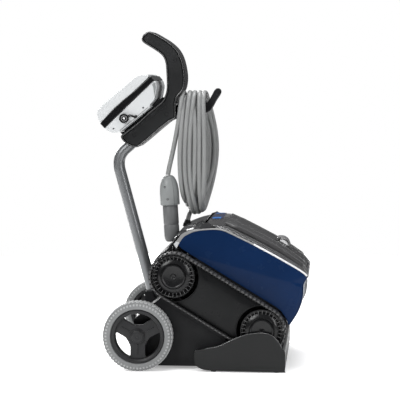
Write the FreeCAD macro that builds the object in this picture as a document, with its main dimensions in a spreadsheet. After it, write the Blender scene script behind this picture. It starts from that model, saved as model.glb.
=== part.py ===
"""Tracked pool cleaner standing on its two-wheeled caddy, with control box, cable coil and swivel.

Frame: +Z up, the floor at Z = 0, the wheels at the -X end, the cradle at the +X end, left is +Y.
The cleaner is drawn in a frame of its own: its origin is the axis of the upper track pulleys, its
+X runs down along the track and its +Z points out of its lid. The control box has a third frame.
"""
import FreeCAD
import Part
import Sketcher
import math
import os

DIMENSIONS = [
    # alias, millimetres (degrees for tilts), meaning
    ("origin_x", 167, "wheel axle to the middle of the base, along X"),
    ("wheel_r", 95, "wheel radius over the tyre"),
    ("wheel_y", 222, "middle of the caddy to the middle of a wheel"),
    ("axle_r", 6, "radius of the wheel axle"),
    ("axle_half", 237, "half length of the wheel axle"),
    ("base_half", 190, "half width of the base shell"),
    ("base_len", 236, "wheel axle to the front of the base shell"),
    ("base_high", 195, "top of the base shell"),
    ("cup_half", 232, "half width of the cradle"),
    ("cup_wall", 10, "thickness of the cradle's side walls"),
    ("cup_len", 399, "wheel axle to the front of the cradle"),
    ("cup_high", 108, "top of the cradle's side walls"),
    ("socket_half", 36, "half width of the mast socket"),
    ("mast_r", 16, "radius of the mast tube"),
    ("mast_wall", 2, "wall of the mast tube"),
    ("mast_bend", 60, "bend radius of the mast tube"),
    ("handle_half", 50, "half width of the handle"),
    ("handle_len", 113, "wheel axle to the front of the handle"),
    ("handle_high", 919, "top of the handle"),
    ("inlay_depth", 4, "depth of the inlay in each side of the handle"),
    ("hook_half", 22, "half width of the cable hook"),
    ("hook_len", 211, "wheel axle to the tip of the cable hook"),
    ("hook_high", 762, "top of the cable hook"),
    ("screw_r", 4, "radius of a screw head"),
    ("robot_x", 95.2, "wheel axle to the upper pulley axis, along X"),
    ("robot_z", 255.8, "height of the upper pulley axis"),
    ("robot_tilt", 31.26, "slope of the tracks, degrees"),
    ("robot_high", 214, "pulley axis to the top of the lid"),
    ("pulley_gap", 279.9, "distance between the pulley axes of a track"),
    ("pulley_r", 61, "radius of a track pulley"),
    ("belt_inner_r", 61.6, "inner radius of a track belt"),
    ("belt_outer_r", 67, "outer radius of a track belt over its ribs"),
    ("belt_in", 178, "middle of the cleaner to the inner edge of a belt"),
    ("belt_out", 220, "middle of the cleaner to the outer edge of a belt"),
    ("stub_r", 8, "radius of a pulley's stub axle"),
    ("running_gap", 0.05, "radial clearance of a running fit"),
    ("hull_half", 170, "half width of the cleaner's hull"),
    ("bay_half", 160, "half width of the filter bay"),
    ("frame_wall", 6, "thickness of the side plates that carry the pulleys"),
    ("panel_wall", 5, "thickness of a side panel"),
    ("cover_out", 214, "middle of the cleaner to the outer face of a track cover"),
    ("cover_wall", 8, "thickness of a track cover"),
    ("lid_half", 167, "half width of the lid"),
    ("pin_r", 3, "radius of the lid's hinge pin"),
    ("brush_half", 167, "half length of a brush roller"),
    ("brush_r", 62, "radius of a brush roller over its blades"),
    ("core_r", 20, "radius of a brush roller's core"),
    ("motor_r", 26, "radius of the pump motor"),
    ("impeller_r", 24, "radius of the impeller"),
    ("drive_r", 18, "radius of a track drive motor"),
    ("box_x", -66, "wheel axle to the lower corner of the box cradle, along X"),
    ("box_z", 628, "height of the lower corner of the box cradle"),
    ("box_tilt", 40, "slope of the control box, degrees"),
    ("box_len", 175, "length of the control box"),
    ("box_high", 97, "thickness of the control box"),
    ("box_half", 108, "half width of the control box"),
    ("box_wall", 3, "wall of the control box"),
    ("band_half", 110, "half width of the band round the control box"),
    ("outlet_r", 13, "outer radius of the control box's outlet"),
    ("outlet_bore_r", 8.5, "bore of the control box's outlet"),
    ("plug_bore_r", 13.1, "bore of the swivel's plug, which slips over the outlet"),
    ("button_r", 9, "radius of a button"),
    ("coil_len", 199, "wheel axle to the far side of the cable coil"),
    ("coil_high", 758, "top of the cable coil"),
    ("coil_half", 68, "half depth of the cable coil"),
    ("cable_r", 6.5, "radius of the cable"),
    ("swivel_x", 69.7, "wheel axle to the swivel, along X"),
    ("swivel_y", -45, "middle of the caddy to the swivel"),
    ("swivel_z", 437, "height of the swivel's joint"),
    ("swivel_tilt", -3.4, "lean of the swivel, degrees"),
    ("swivel_r", 27, "radius of the swivel's housing"),
    ("barrel_r", 21.5, "radius of the swivel's barrel"),
]

SIDES = {"right": -1, "left": 1}
PULLEYS = {"rear": 0, "front": 1}

doc = FreeCAD.newDocument("PoolCleaner")
sheet = doc.addObject("Spreadsheet::Sheet", "Dims")
sub_parts = []


# ---------------------------------------------------------------- driving dimensions

def fill_sheet():
    for row, (alias, number, meaning) in enumerate(DIMENSIONS, start=1):
        sheet.set(f"A{row}", meaning)
        sheet.set(f"B{row}", str(number))
        sheet.setAlias(f"B{row}", alias)
    doc.recompute()


def dim(alias):
    return float(sheet.get(alias))


def bound(number, alias):
    """A length as an expression that stays in proportion to a driving dimension."""
    return f"Dims.{alias} * {number / dim(alias):.6f}"


# ---------------------------------------------------------------- placements

def place_on_caddy(obj, x="0", y="0", z="0"):
    obj.setExpression("Placement.Base.x", f"{x} - Dims.origin_x")
    obj.setExpression("Placement.Base.y", y)
    obj.setExpression("Placement.Base.z", z)


def tilt(obj, angle):
    """Turns an object about +Y by an angle given as an expression in degrees."""
    obj.Placement = FreeCAD.Placement(FreeCAD.Vector(), FreeCAD.Rotation(FreeCAD.Vector(0, 1, 0), 1))
    obj.setExpression("Placement.Rotation.Angle", f"{angle} * 1 deg")


def place_on_robot(obj, along="0", out="0", y="0"):
    """Places an object in the cleaner's own frame, at a point along and out of the track."""
    angle = "Dims.robot_tilt * 1 deg"
    tilt(obj, "Dims.robot_tilt")
    place_on_caddy(
        obj,
        x=f"Dims.robot_x + ({along}) * cos({angle}) + ({out}) * sin({angle})",
        y=y,
        z=f"Dims.robot_z - ({along}) * sin({angle}) + ({out}) * cos({angle})",
    )


def place_on_box(obj, along="0", out="0", y="0"):
    """Places an object in the control box's own frame, which slopes up towards +X."""
    angle = "Dims.box_tilt * 1 deg"
    tilt(obj, "-Dims.box_tilt")
    place_on_caddy(
        obj,
        x=f"Dims.box_x + ({along}) * cos({angle}) - ({out}) * sin({angle})",
        y=y,
        z=f"Dims.box_z + ({along}) * sin({angle}) + ({out}) * cos({angle})",
    )


def place_on_swivel(obj):
    tilt(obj, "Dims.swivel_tilt")
    place_on_caddy(obj, x="Dims.swivel_x", y="Dims.swivel_y", z="Dims.swivel_z")


# ---------------------------------------------------------------- sketches and features

def new_body(label, place):
    body = doc.addObject("PartDesign::Body", label)
    body.Label = label
    place(body)
    sub_parts.append(body)
    return body


def new_sketch(body, name, plane="XZ_Plane", offset="0"):
    """An empty sketch on one of the body's origin planes; on XZ_Plane a positive offset is -Y."""
    support = next(plane_ for plane_ in body.Origin.OriginFeatures if plane_.Role == plane)
    sketch = body.newObject("Sketcher::SketchObject", name)
    sketch.AttachmentSupport = [(support, "")]
    sketch.MapMode = "FlatFace"
    sketch.setExpression("AttachmentOffset.Base.z", offset)
    return sketch


def pin_point(sketch, geometry, point, place, across, up):
    """Holds a sketch point at its place, in proportion to two driving dimensions."""
    for kind, number, alias in (("DistanceX", place[0], across), ("DistanceY", place[1], up)):
        index = sketch.addConstraint(Sketcher.Constraint(kind, -1, 1, geometry, point, number))
        sketch.setExpression(f"Constraints[{index}]", bound(number, alias))


def polygon(sketch, points, across, up):
    first = sketch.GeometryCount
    corners = [FreeCAD.Vector(x, y, 0) for x, y in points]
    for start, end in zip(corners, corners[1:] + corners[:1]):
        sketch.addGeometry(Part.LineSegment(start, end))
    for index, place in enumerate(points):
        following = first + (index + 1) % len(points)
        sketch.addConstraint(Sketcher.Constraint("Coincident", first + index, 2, following, 1))
        pin_point(sketch, first + index, 1, place, across, up)


def circle(sketch, centre, radius, across, up):
    """A circle whose radius is an expression."""
    middle = FreeCAD.Vector(centre[0], centre[1], 0)
    index = sketch.addGeometry(Part.Circle(middle, FreeCAD.Vector(0, 0, 1), 1))
    pin_point(sketch, index, 3, centre, across, up)
    constraint = sketch.addConstraint(Sketcher.Constraint("Radius", index, 1))
    sketch.setExpression(f"Constraints[{constraint}]", radius)


def pad(body, sketch, length, midplane=True):
    feature = body.newObject("PartDesign::Pad", sketch.Name + "Pad")
    feature.Profile = sketch
    feature.setExpression("Length", length)
    feature.Midplane = midplane
    doc.recompute()
    return feature


def pocket(body, sketch, length, midplane=True, reverse=False):
    """A cut that has to take material away; reverse cuts along the sketch's own normal."""
    before = body.Tip.Shape.Volume
    feature = body.newObject("PartDesign::Pocket", sketch.Name + "Pocket")
    feature.Profile = sketch
    feature.setExpression("Length", length)
    feature.Midplane = midplane
    feature.Reversed = reverse
    doc.recompute()
    if feature.Shape.Volume > before - 1:
        raise RuntimeError(f"{feature.Name} cuts nothing")
    return feature


def revolve(body, sketch, axis="V_Axis"):
    feature = body.newObject("PartDesign::Revolution", sketch.Name + "Turn")
    feature.Profile = sketch
    feature.ReferenceAxis = (sketch, [axis])
    feature.Angle = 360
    doc.recompute()
    return feature


def polar(body, feature, count, axis_role):
    axis = next(axis_ for axis_ in body.Origin.OriginFeatures if axis_.Role == axis_role)
    pattern = body.newObject("PartDesign::PolarPattern", feature.Name + "Ring")
    pattern.Originals = [feature]
    pattern.Axis = (axis, [""])
    pattern.Angle = 360
    pattern.Occurrences = count
    body.Tip = pattern
    doc.recompute()
    return pattern


def round_off(body, radius, chosen):
    """Fillets the tip's edges that a test picks out."""
    base = body.Tip
    names = [f"Edge{i}" for i, edge in enumerate(base.Shape.Edges, start=1) if chosen(edge)]
    feature = body.newObject("PartDesign::Fillet", body.Name + "Round")
    feature.Base = (base, names)
    feature.Radius = radius
    doc.recompute()
    return feature


def runs_across(edge):
    """True for a straight edge that is parallel to Y."""
    box = edge.BoundBox
    return len(edge.Vertexes) == 2 and box.YLength > 20 and box.XLength + box.ZLength < 0.01


def inset(points, wall):
    """A convex-ish outline moved inwards by a wall; the outline runs anticlockwise."""
    moved = []
    count = len(points)
    for index in range(count):
        (ax, ay), (bx, by), (cx, cy) = (points[(index + step) % count] for step in (-1, 0, 1))
        first = math.atan2(by - ay, bx - ax)
        second = math.atan2(cy - by, cx - bx)
        half = (second - first) / 2
        reach = wall / math.cos(half)
        middle = first + half + math.pi / 2
        moved.append((bx + reach * math.cos(middle), by + reach * math.sin(middle)))
    return moved


def extruded(label, place, points, across, up, length):
    """A body whose side outline is padded symmetrically about the middle plane."""
    body = new_body(label, place)
    sketch = new_sketch(body, label + "_outline")
    polygon(sketch, points, across, up)
    pad(body, sketch, length)
    return body


def hollow(body, name, points, across, up, length):
    """Cuts an outline symmetrically about the middle plane."""
    sketch = new_sketch(body, name)
    polygon(sketch, points, across, up)
    return pocket(body, sketch, length)


def side_offset(side, inner, outer):
    """The offset of a sketch on XZ_Plane whose pad, towards -Y, fills inner to outer on a side."""
    return inner if side < 0 else f"-({outer})"


def side_extruded(label, place, points, across, up, side, inner, outer):
    """A body whose side outline fills the space from inner to outer on one side."""
    body = new_body(label, place)
    add_side_pad(body, label + "_outline", points, across, up, side, inner, outer)
    return body


def add_side_pad(body, name, points, across, up, side, inner, outer):
    sketch = new_sketch(body, name, offset=side_offset(side, inner, outer))
    polygon(sketch, points, across, up)
    pad(body, sketch, f"({outer}) - ({inner})", midplane=False)


def turned(label, place, points, radius, height, plane="XY_Plane"):
    """A body turned about Y (plane XY_Plane) or Z (plane XZ_Plane) from (radius, axial) points."""
    body = new_body(label, place)
    sketch = new_sketch(body, label + "_section", plane)
    polygon(sketch, points, radius, height)
    revolve(body, sketch)
    return body


def cylinder(name, radius, length, direction=(0, 1, 0)):
    """A Part cylinder that starts at its placement and points along a direction."""
    rod = doc.addObject("Part::Cylinder", name)
    rod.setExpression("Radius", radius)
    rod.setExpression("Height", length)
    turn = FreeCAD.Rotation(FreeCAD.Vector(0, 0, 1), FreeCAD.Vector(*direction))
    rod.Placement = FreeCAD.Placement(FreeCAD.Vector(), turn)
    return rod


def group(label, pieces, place):
    """One node made of several separate Part solids, placed together."""
    compound = doc.addObject("Part::Compound", label)
    compound.Label = label
    compound.Links = pieces
    place(compound)
    sub_parts.append(compound)
    return compound


def cut(label, base, tool, place):
    """A Part cut that takes the base's place among the sub-parts."""
    result = doc.addObject("Part::Cut", label + "_cut")
    result.Base = base
    result.Tool = tool
    if base in sub_parts:
        sub_parts.remove(base)
        base.Label = label + "_blank"
    result.Label = label
    place(result)
    sub_parts.append(result)
    return result


def stay(obj):
    """Leaves an object where its own parts are."""
    obj.setExpression("Placement.Base.x", "0")


# ---------------------------------------------------------------- bent tubes

def bent_path(points, radii=None):
    """Straight runs joined by tangent arcs, and the radius of each arc."""
    corners = [FreeCAD.Vector(*point) for point in points]
    edges = []
    used = []
    start = corners[0]
    for index in range(1, len(corners) - 1):
        before = corners[index] - corners[index - 1]
        after = corners[index + 1] - corners[index]
        half_turn = before.getAngle(after) / 2
        if radii:
            radius = radii[index - 1]
        else:
            radius = 0.45 * min(before.Length, after.Length) / math.tan(half_turn)
        used.append(radius)
        reach = radius * math.tan(half_turn)
        leave = corners[index] - before.normalize() * reach
        join = corners[index] + after.normalize() * reach
        inward = (after - before).normalize()
        middle = corners[index] + inward * (radius / math.cos(half_turn) - radius)
        edges.append(Part.LineSegment(start, leave).toShape())
        edges.append(Part.Arc(leave, middle, join).toShape())
        start = join
    edges.append(Part.LineSegment(start, corners[-1]).toShape())
    return Part.Wire(edges), used


def swept(path, radius):
    """A round solid along a path; its volume has to match its section times its length."""
    first = path.Edges[0]
    ring = Part.Circle(first.valueAt(first.FirstParameter), first.tangentAt(first.FirstParameter), radius)
    solid = path.makePipeShell([Part.Wire([ring.toShape()])], True, True)
    expected = math.pi * radius ** 2 * path.Length
    if abs(solid.Volume - expected) > 0.01 * expected:
        raise RuntimeError(f"tube volume {solid.Volume:.0f} is not {expected:.0f}")
    return solid


def feature_from(label, shape):
    """A sub-part whose shape is worked out with Part functions, in the caddy's frame."""
    feature = doc.addObject("Part::Feature", label)
    feature.Label = label
    feature.Shape = shape
    feature.Placement = FreeCAD.Placement(FreeCAD.Vector(-dim("origin_x"), 0, 0), FreeCAD.Rotation())
    sub_parts.append(feature)
    return feature


# ---------------------------------------------------------------- caddy

MAST_POINTS = [(35, 0, 120), (-87.2, 0, 566.5), (-34, 0, 614.4)]
HANDLE_OUTLINE = [
    (-24, 597), (-8, 606), (14, 624), (70, 672), (86, 674), (86, 735), (108, 758), (113, 785),
    (110, 815), (102, 845), (90, 868), (70, 888), (20, 919), (8, 918), (-3, 911), (-9, 901),
    (-4, 889), (20, 873), (41, 859), (52, 847), (58, 830), (60, 804), (61, 780), (60, 755),
    (54, 737), (45, 724), (11, 696), (-24, 664), (-63, 634), (-68, 626), (-63, 616), (-49, 604),
]
CUP_OUTLINE = [
    (155, 25), (162, 18), (177, 10), (210, 6), (394, 5), (399, 10), (399, 60), (390, 66), (385, 76),
    (372, 94), (356, 104), (333, 108), (294, 103), (259, 90), (223, 72), (157, 57), (154, 51),
]
HOOK_OUTLINE = [
    (86.3, 680), (96, 680), (110, 694), (166, 693), (186, 703), (211, 744), (208, 757), (197, 762),
    (190, 756), (176, 726), (165, 716), (86.3, 716),
]


def build_base():
    outer = [(-4, 28), (20, 8), (236, 8), (236, 88.5), (59, 195), (22, 166), (-14, 135), (-20, 95), (-16, 60)]
    inner = [(2, 32), (24, 0), (232, 0), (232, 86), (59, 189), (25, 162), (-9, 132), (-15, 95), (-11, 62)]
    body = extruded("base_shell", place_on_caddy, outer, "base_len", "base_high", "2 * Dims.base_half")
    hollow(body, "base_inside", inner, "base_len", "base_high", "2 * Dims.base_half - 8")
    notch = [(-30, 66), (52, 66), (52, 210), (-30, 210)]
    hollow(body, "base_notch", notch, "base_len", "base_high", "2 * Dims.socket_half + 0.6")
    bore = new_sketch(body, "base_axle_bore")
    circle(bore, (0, 95), "Dims.axle_r", "base_len", "base_high")
    pocket(body, bore, "2 * Dims.base_half + 10")


def build_cradle():
    body = extruded("front_cradle", place_on_caddy, CUP_OUTLINE, "cup_len", "cup_high", "2 * Dims.cup_half")
    pulley = (dim("robot_x") + dim("pulley_gap") * math.cos(math.radians(dim("robot_tilt"))),
              dim("robot_z") - dim("pulley_gap") * math.sin(math.radians(dim("robot_tilt"))))
    room = dim("belt_outer_r") + 3
    rest = [(pulley[0] + room * math.cos(math.radians(a)), pulley[1] + room * math.sin(math.radians(a)))
            for a in (-121, -105, -90, -72, -54, -36, -20)]
    pocket_outline = [(140, 52), (226, 80), (240, 86)] + rest + [(420, 140), (420, 170), (140, 170)]
    hollow(body, "cradle_pocket", pocket_outline, "cup_len", "cup_high", "2 * (Dims.cup_half - Dims.cup_wall)")
    gap = [(140, -10), (236.3, -10), (236.3, 170), (140, 170)]
    hollow(body, "cradle_gap", gap, "cup_len", "cup_high", "2 * Dims.base_half + 0.6")
    below = [(250, -10), (384, -10), (384, 26), (364, 34), (304, 34), (262, 60), (250, 60)]
    hollow(body, "cradle_underside", below, "cup_len", "cup_high", "2 * (Dims.cup_half - 14)")


def build_feet():
    pads = []
    for side in SIDES.values():
        for x in (205, 375):
            foot = cylinder("foot", "8", "5", (0, 0, 1))
            foot.setExpression("Placement.Base.x", bound(x, "cup_len"))
            foot.setExpression("Placement.Base.y", f"{side} * (Dims.cup_half - 14)")
            pads.append(foot)
    group("cradle_feet", pads, place_on_caddy)


def build_socket():
    outline = [(-15, 66.3), (51.7, 66.3), (51.7, 152), (31, 152), (18, 190), (-4, 190), (-4, 152), (-13, 133),
               (-19, 95)]
    length = "2 * Dims.socket_half"
    body = extruded("mast_socket", place_on_caddy, outline, "base_len", "base_high", length)
    bore = new_sketch(body, "socket_axle_bore")
    circle(bore, (0, 95), "Dims.axle_r", "base_len", "base_high")
    pocket(body, bore, "4 * Dims.socket_half")
    foot, bend = (FreeCAD.Vector(*point) for point in MAST_POINTS[:2])
    tool = cylinder("socket_bore", "Dims.mast_r", "200", tuple(bend - foot))
    tool.setExpression("Placement.Base.x", f"{foot.x} - Dims.origin_x")
    tool.setExpression("Placement.Base.z", f"{foot.z}")
    cut("mast_socket", body, tool, stay)


def build_mast():
    path, _ = bent_path(MAST_POINTS, [dim("mast_bend")])
    outer = swept(path, dim("mast_r"))
    inner = swept(path, dim("mast_r") - dim("mast_wall"))
    feature_from("mast_tube", outer.cut(inner))


def build_wheels():
    for name, side in SIDES.items():
        middle = f"{side} * Dims.wheel_y"

        def place(obj):
            place_on_caddy(obj, y=middle, z="Dims.wheel_r")

        tyre = [(73, -18), (80, -22), (89, -20), (94, -13), (95, -6), (95, 6), (94, 13), (89, 20), (80, 22),
                (73, 18)]
        turned(f"{name}_tyre", place, tyre, "wheel_r", "wheel_y")
        hub = new_body(f"{name}_wheel_hub", place)
        rim = new_sketch(hub, "rim")
        circle(rim, (0, 0), "Dims.wheel_r - 22", "wheel_r", "wheel_r")
        circle(rim, (0, 0), "Dims.wheel_r - 33", "wheel_r", "wheel_r")
        pad(hub, rim, "34")
        boss = new_sketch(hub, "boss")
        circle(boss, (0, 0), "19", "wheel_r", "wheel_r")
        pad(hub, boss, "28")
        spoke = new_sketch(hub, "spoke")
        polygon(spoke, [(-13, -64), (13, -64), (13, 0), (-13, 0)], "wheel_r", "wheel_r")
        polar(hub, pad(hub, spoke, "16"), 3, "Y_Axis")
        bore = new_sketch(hub, "bore")
        circle(bore, (0, 0), "Dims.axle_r + Dims.running_gap", "wheel_r", "wheel_r")
        pocket(hub, bore, "60")
        cap = [(0, 16), (6, 16), (6, 14.1), (18, 14.1), (18, 17), (14, 20), (0, 20)]
        cap = [(radius, side * out) for radius, out in cap]
        turned(f"{name}_hub_cap", place, cap, "wheel_r", "wheel_y")
    rod = cylinder("axle_rod", "Dims.axle_r", "2 * Dims.axle_half")
    rod.setExpression("Placement.Base.y", "-Dims.axle_half")
    group("wheel_axle", [rod], lambda obj: place_on_caddy(obj, z="Dims.wheel_r"))


def build_handle():
    outline = HANDLE_OUTLINE
    width = "2 * Dims.handle_half"
    body = extruded("handle_frame", place_on_caddy, outline, "handle_len", "handle_high", width)
    recess = inset(outline, 7)
    for name, side in SIDES.items():
        inner = "Dims.handle_half - Dims.inlay_depth"
        sketch = new_sketch(body, f"{name}_recess", offset=side_offset(side, inner, "Dims.handle_half"))
        polygon(sketch, recess, "handle_len", "handle_high")
        pocket(body, sketch, "Dims.inlay_depth", midplane=False, reverse=True)
        side_extruded(f"{name}_handle_cover", place_on_caddy, recess, "handle_len", "handle_high",
                      side, inner, "Dims.handle_half - 1")
    lower, upper = (FreeCAD.Vector(*point) for point in MAST_POINTS[1:])
    tool = cylinder("handle_bore", "Dims.mast_r", f"{(upper - lower).Length}", tuple(upper - lower))
    tool.setExpression("Placement.Base.x", f"{lower.x} - Dims.origin_x")
    tool.setExpression("Placement.Base.z", f"{lower.z}")
    cut("handle_frame", body, tool, stay)


def build_handle_screws():
    heads = []
    for side in SIDES.values():
        for x, z in ((60, 690), (-30, 632), (84, 840)):
            head = cylinder("screw", "Dims.screw_r", "3")
            head.setExpression("Placement.Base.x", f"{x}")
            start = "Dims.handle_half - 1" if side > 0 else "-(Dims.handle_half - 1) - 3"
            head.setExpression("Placement.Base.y", start)
            head.setExpression("Placement.Base.z", f"{z}")
            heads.append(head)
    group("handle_screws", heads, place_on_caddy)


def build_hook():
    body = extruded("cable_hook", place_on_caddy, HOOK_OUTLINE, "hook_len", "hook_high", "2 * Dims.hook_half")
    round_off(body, 4, lambda edge: runs_across(edge) and edge.BoundBox.XMin > 150)


def build_box_cradle():
    outline = [(3, 3.4), (146, 3.4), (160, 7.4), (158, 8.8), (142, 13.5), (125, 12), (120.6, 5.6), (11, 7.4), (3, 12)]
    extruded("box_cradle", place_on_box, outline, "box_len", "box_high", "2 * Dims.handle_half - 10")


# ---------------------------------------------------------------- cleaner

HULL_OUTLINE = [
    (68, -48), (212, -48), (214, 10), (228, 49), (250, 67), (318, 67), (322, 72), (319, 88), (311, 126),
    (299, 152), (299, 166), (28, 166), (8, 144), (-20, 130), (-41, 100), (-43, 72), (30, 67), (52, 49), (66, 10),
]
BAY_OUTLINE = [
    (78, -42), (204, -42), (206, 30), (238, 74), (296, 76), (304, 100), (292, 140), (288, 178), (34, 178),
    (34, 76), (62, 58),
]
PANEL_OUTLINE = [
    (-20, 71), (280, 71), (298, 68.6), (321, 58.2), (334, 46), (335, 86), (325, 130), (309, 159), (308, 185),
    (302, 187), (282, 189), (207, 187), (151, 184), (79, 177), (50, 173), (29, 164), (2, 145), (-18, 127),
    (-32, 106), (-34, 94), (-33, 75),
]


def build_hull():
    body = extruded("cleaner_hull", place_on_robot, HULL_OUTLINE, "pulley_gap", "robot_high", "2 * Dims.hull_half")
    hollow(body, "filter_bay", BAY_OUTLINE, "pulley_gap", "robot_high", "2 * Dims.bay_half")
    motor_bay = [(-34, 76), (22, 76), (22, 180), (-34, 180)]
    hollow(body, "motor_bay", motor_bay, "pulley_gap", "robot_high", "2 * Dims.motor_r + 12")
    plate = [(-42, -28), (-24, -46), (304, -46), (322, -28), (322, 28), (304, 46), (216, 60), (64, 60),
             (-24, 46), (-42, 28)]
    lug = [(1.6, 142), (24, 158), (20, 161), (12, 167.3), (4, 167.3), (1.6, 165)]
    for name, side in SIDES.items():
        add_side_pad(body, f"{name}_plate", plate, "pulley_gap", "robot_high", side,
                     "Dims.hull_half", "Dims.hull_half + Dims.frame_wall")
        add_side_pad(body, f"{name}_lug", lug, "pulley_gap", "robot_high", side,
                     "Dims.lid_half - 17", "Dims.lid_half - 7")
    bores = new_sketch(body, "stub_bores")
    for along in (0, dim("pulley_gap")):
        circle(bores, (along, 0), "Dims.stub_r", "pulley_gap", "robot_high")
    circle(bores, (6, 163), "Dims.pin_r", "pulley_gap", "robot_high")
    pocket(body, bores, "3 * Dims.hull_half")


def build_side_parts():
    for name, side in SIDES.items():
        side_extruded(f"{name}_side_panel", place_on_robot, PANEL_OUTLINE, "pulley_gap", "robot_high", side,
                      "Dims.hull_half", "Dims.hull_half + Dims.panel_wall")
        back = "Dims.hull_half + Dims.frame_wall"
        front = "Dims.cover_out - Dims.cover_wall"
        plate = [(28, -58), (252, -58), (252, 58), (28, 58)]
        cover = side_extruded(f"{name}_track_cover", place_on_robot, plate, "pulley_gap", "robot_high", side,
                              front, "Dims.cover_out")
        posts = new_sketch(cover, f"{name}_posts", offset=side_offset(side, back, front))
        for along in (110, 170):
            circle(posts, (along, 0), "9", "pulley_gap", "robot_high")
        pad(cover, posts, f"{front} - ({back})", midplane=False)
        arches = new_sketch(cover, f"{name}_arches")
        for along in (0, dim("pulley_gap")):
            circle(arches, (along, 0), "Dims.belt_outer_r + 1", "pulley_gap", "robot_high")
        pocket(cover, arches, "3 * Dims.hull_half")


def stadium(name, radius, side):
    """A solid with the outline of a belt, across one track's width."""
    width = "Dims.belt_out - Dims.belt_in"
    start = "Dims.belt_in" if side > 0 else "-Dims.belt_out"
    pieces = []
    for along in ("0", "Dims.pulley_gap"):
        end = cylinder(name + "_end", radius, width)
        end.setExpression("Placement.Base.x", along)
        end.setExpression("Placement.Base.y", start)
        pieces.append(end)
    middle = doc.addObject("Part::Box", name + "_middle")
    middle.setExpression("Length", "Dims.pulley_gap")
    middle.setExpression("Width", width)
    middle.setExpression("Height", f"2 * {radius}")
    middle.setExpression("Placement.Base.y", start)
    middle.setExpression("Placement.Base.z", f"-{radius}")
    pieces.append(middle)
    fused = doc.addObject("Part::MultiFuse", name)
    fused.Shapes = pieces
    fused.Refine = True
    return fused


def build_tracks():
    for name, side in SIDES.items():
        outer = stadium(f"{name}_belt_outer", "Dims.belt_outer_r", side)
        inner = stadium(f"{name}_belt_inner", "Dims.belt_inner_r", side)
        cut(f"{name}_track_belt", outer, inner, place_on_robot)
        section = [(8.05, 179), (61, 179), (61, 213), (55, 213), (52, 204), (34, 204), (33, 216), (0, 216),
                   (0, 211), (8.05, 211)]
        section = [(radius, side * out) for radius, out in section]
        for end, step in PULLEYS.items():
            turned(f"{name}_{end}_pulley", lambda obj: place_on_robot(obj, along=f"{step} * Dims.pulley_gap"),
                   section, "pulley_r", "belt_out")
    stubs = []
    for side in SIDES.values():
        for step in PULLEYS.values():
            stub = cylinder("stub", "Dims.stub_r", "70")
            stub.setExpression("Placement.Base.x", f"{step} * Dims.pulley_gap")
            stub.setExpression("Placement.Base.y", "140" if side > 0 else "-210")
            stubs.append(stub)
    group("track_axles", stubs, place_on_robot)


def build_brushes():
    for end, step in PULLEYS.items():
        body = new_body(f"{end}_brush", lambda obj: place_on_robot(obj, along=f"{step} * Dims.pulley_gap"))
        core = new_sketch(body, "core")
        circle(core, (0, 0), "Dims.core_r", "brush_r", "brush_r")
        circle(core, (0, 0), "Dims.stub_r + Dims.running_gap", "brush_r", "brush_r")
        pad(body, core, "2 * Dims.brush_half")
        blade = new_sketch(body, "blade")
        polygon(blade, [(-2, 17), (2, 17), (2, 61.5), (-2, 61.5)], "brush_r", "brush_r")
        polar(body, pad(body, blade, "2 * Dims.brush_half"), 8, "Y_Axis")


def build_ends():
    bumper = [(-68, 6), (-63.6, 6), (-61.2, 18), (-54.8, 33), (-48.4, 46), (-46.4, 68), (-44.6, 97), (-50, 97),
              (-52, 68), (-54, 48), (-60, 34), (-66.5, 18)]
    guard = extruded("rear_bumper", place_on_robot, bumper, "pulley_gap", "robot_high", "2 * Dims.hull_half - 4")
    dip = [(-80, 30), (-30, 30), (-30, 110), (-80, 110)]
    hollow(guard, "bumper_dip", dip, "pulley_gap", "robot_high", "Dims.hull_half")
    cover = [(-45, 98), (-39.6, 116), (-19, 145), (-5, 160), (-5, 168), (-22, 151), (-45, 119), (-50, 98)]
    extruded("rear_cover", place_on_robot, cover, "pulley_gap", "robot_high", "2 * Dims.hull_half - 4")
    front = [(329, 51), (334, 46.5), (335, 86), (325, 129), (309, 158), (308, 184), (302, 184), (303, 156),
             (319, 126), (329, 85)]
    extruded("front_panel", place_on_robot, front, "pulley_gap", "robot_high", "2 * Dims.hull_half - 1")
    grille = [(325.3, 129.4), (330, 110), (337, 114), (331, 143), (321, 157), (309.8, 158.2)]
    extruded("front_grille", place_on_robot, grille, "pulley_gap", "robot_high", "120")


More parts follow.
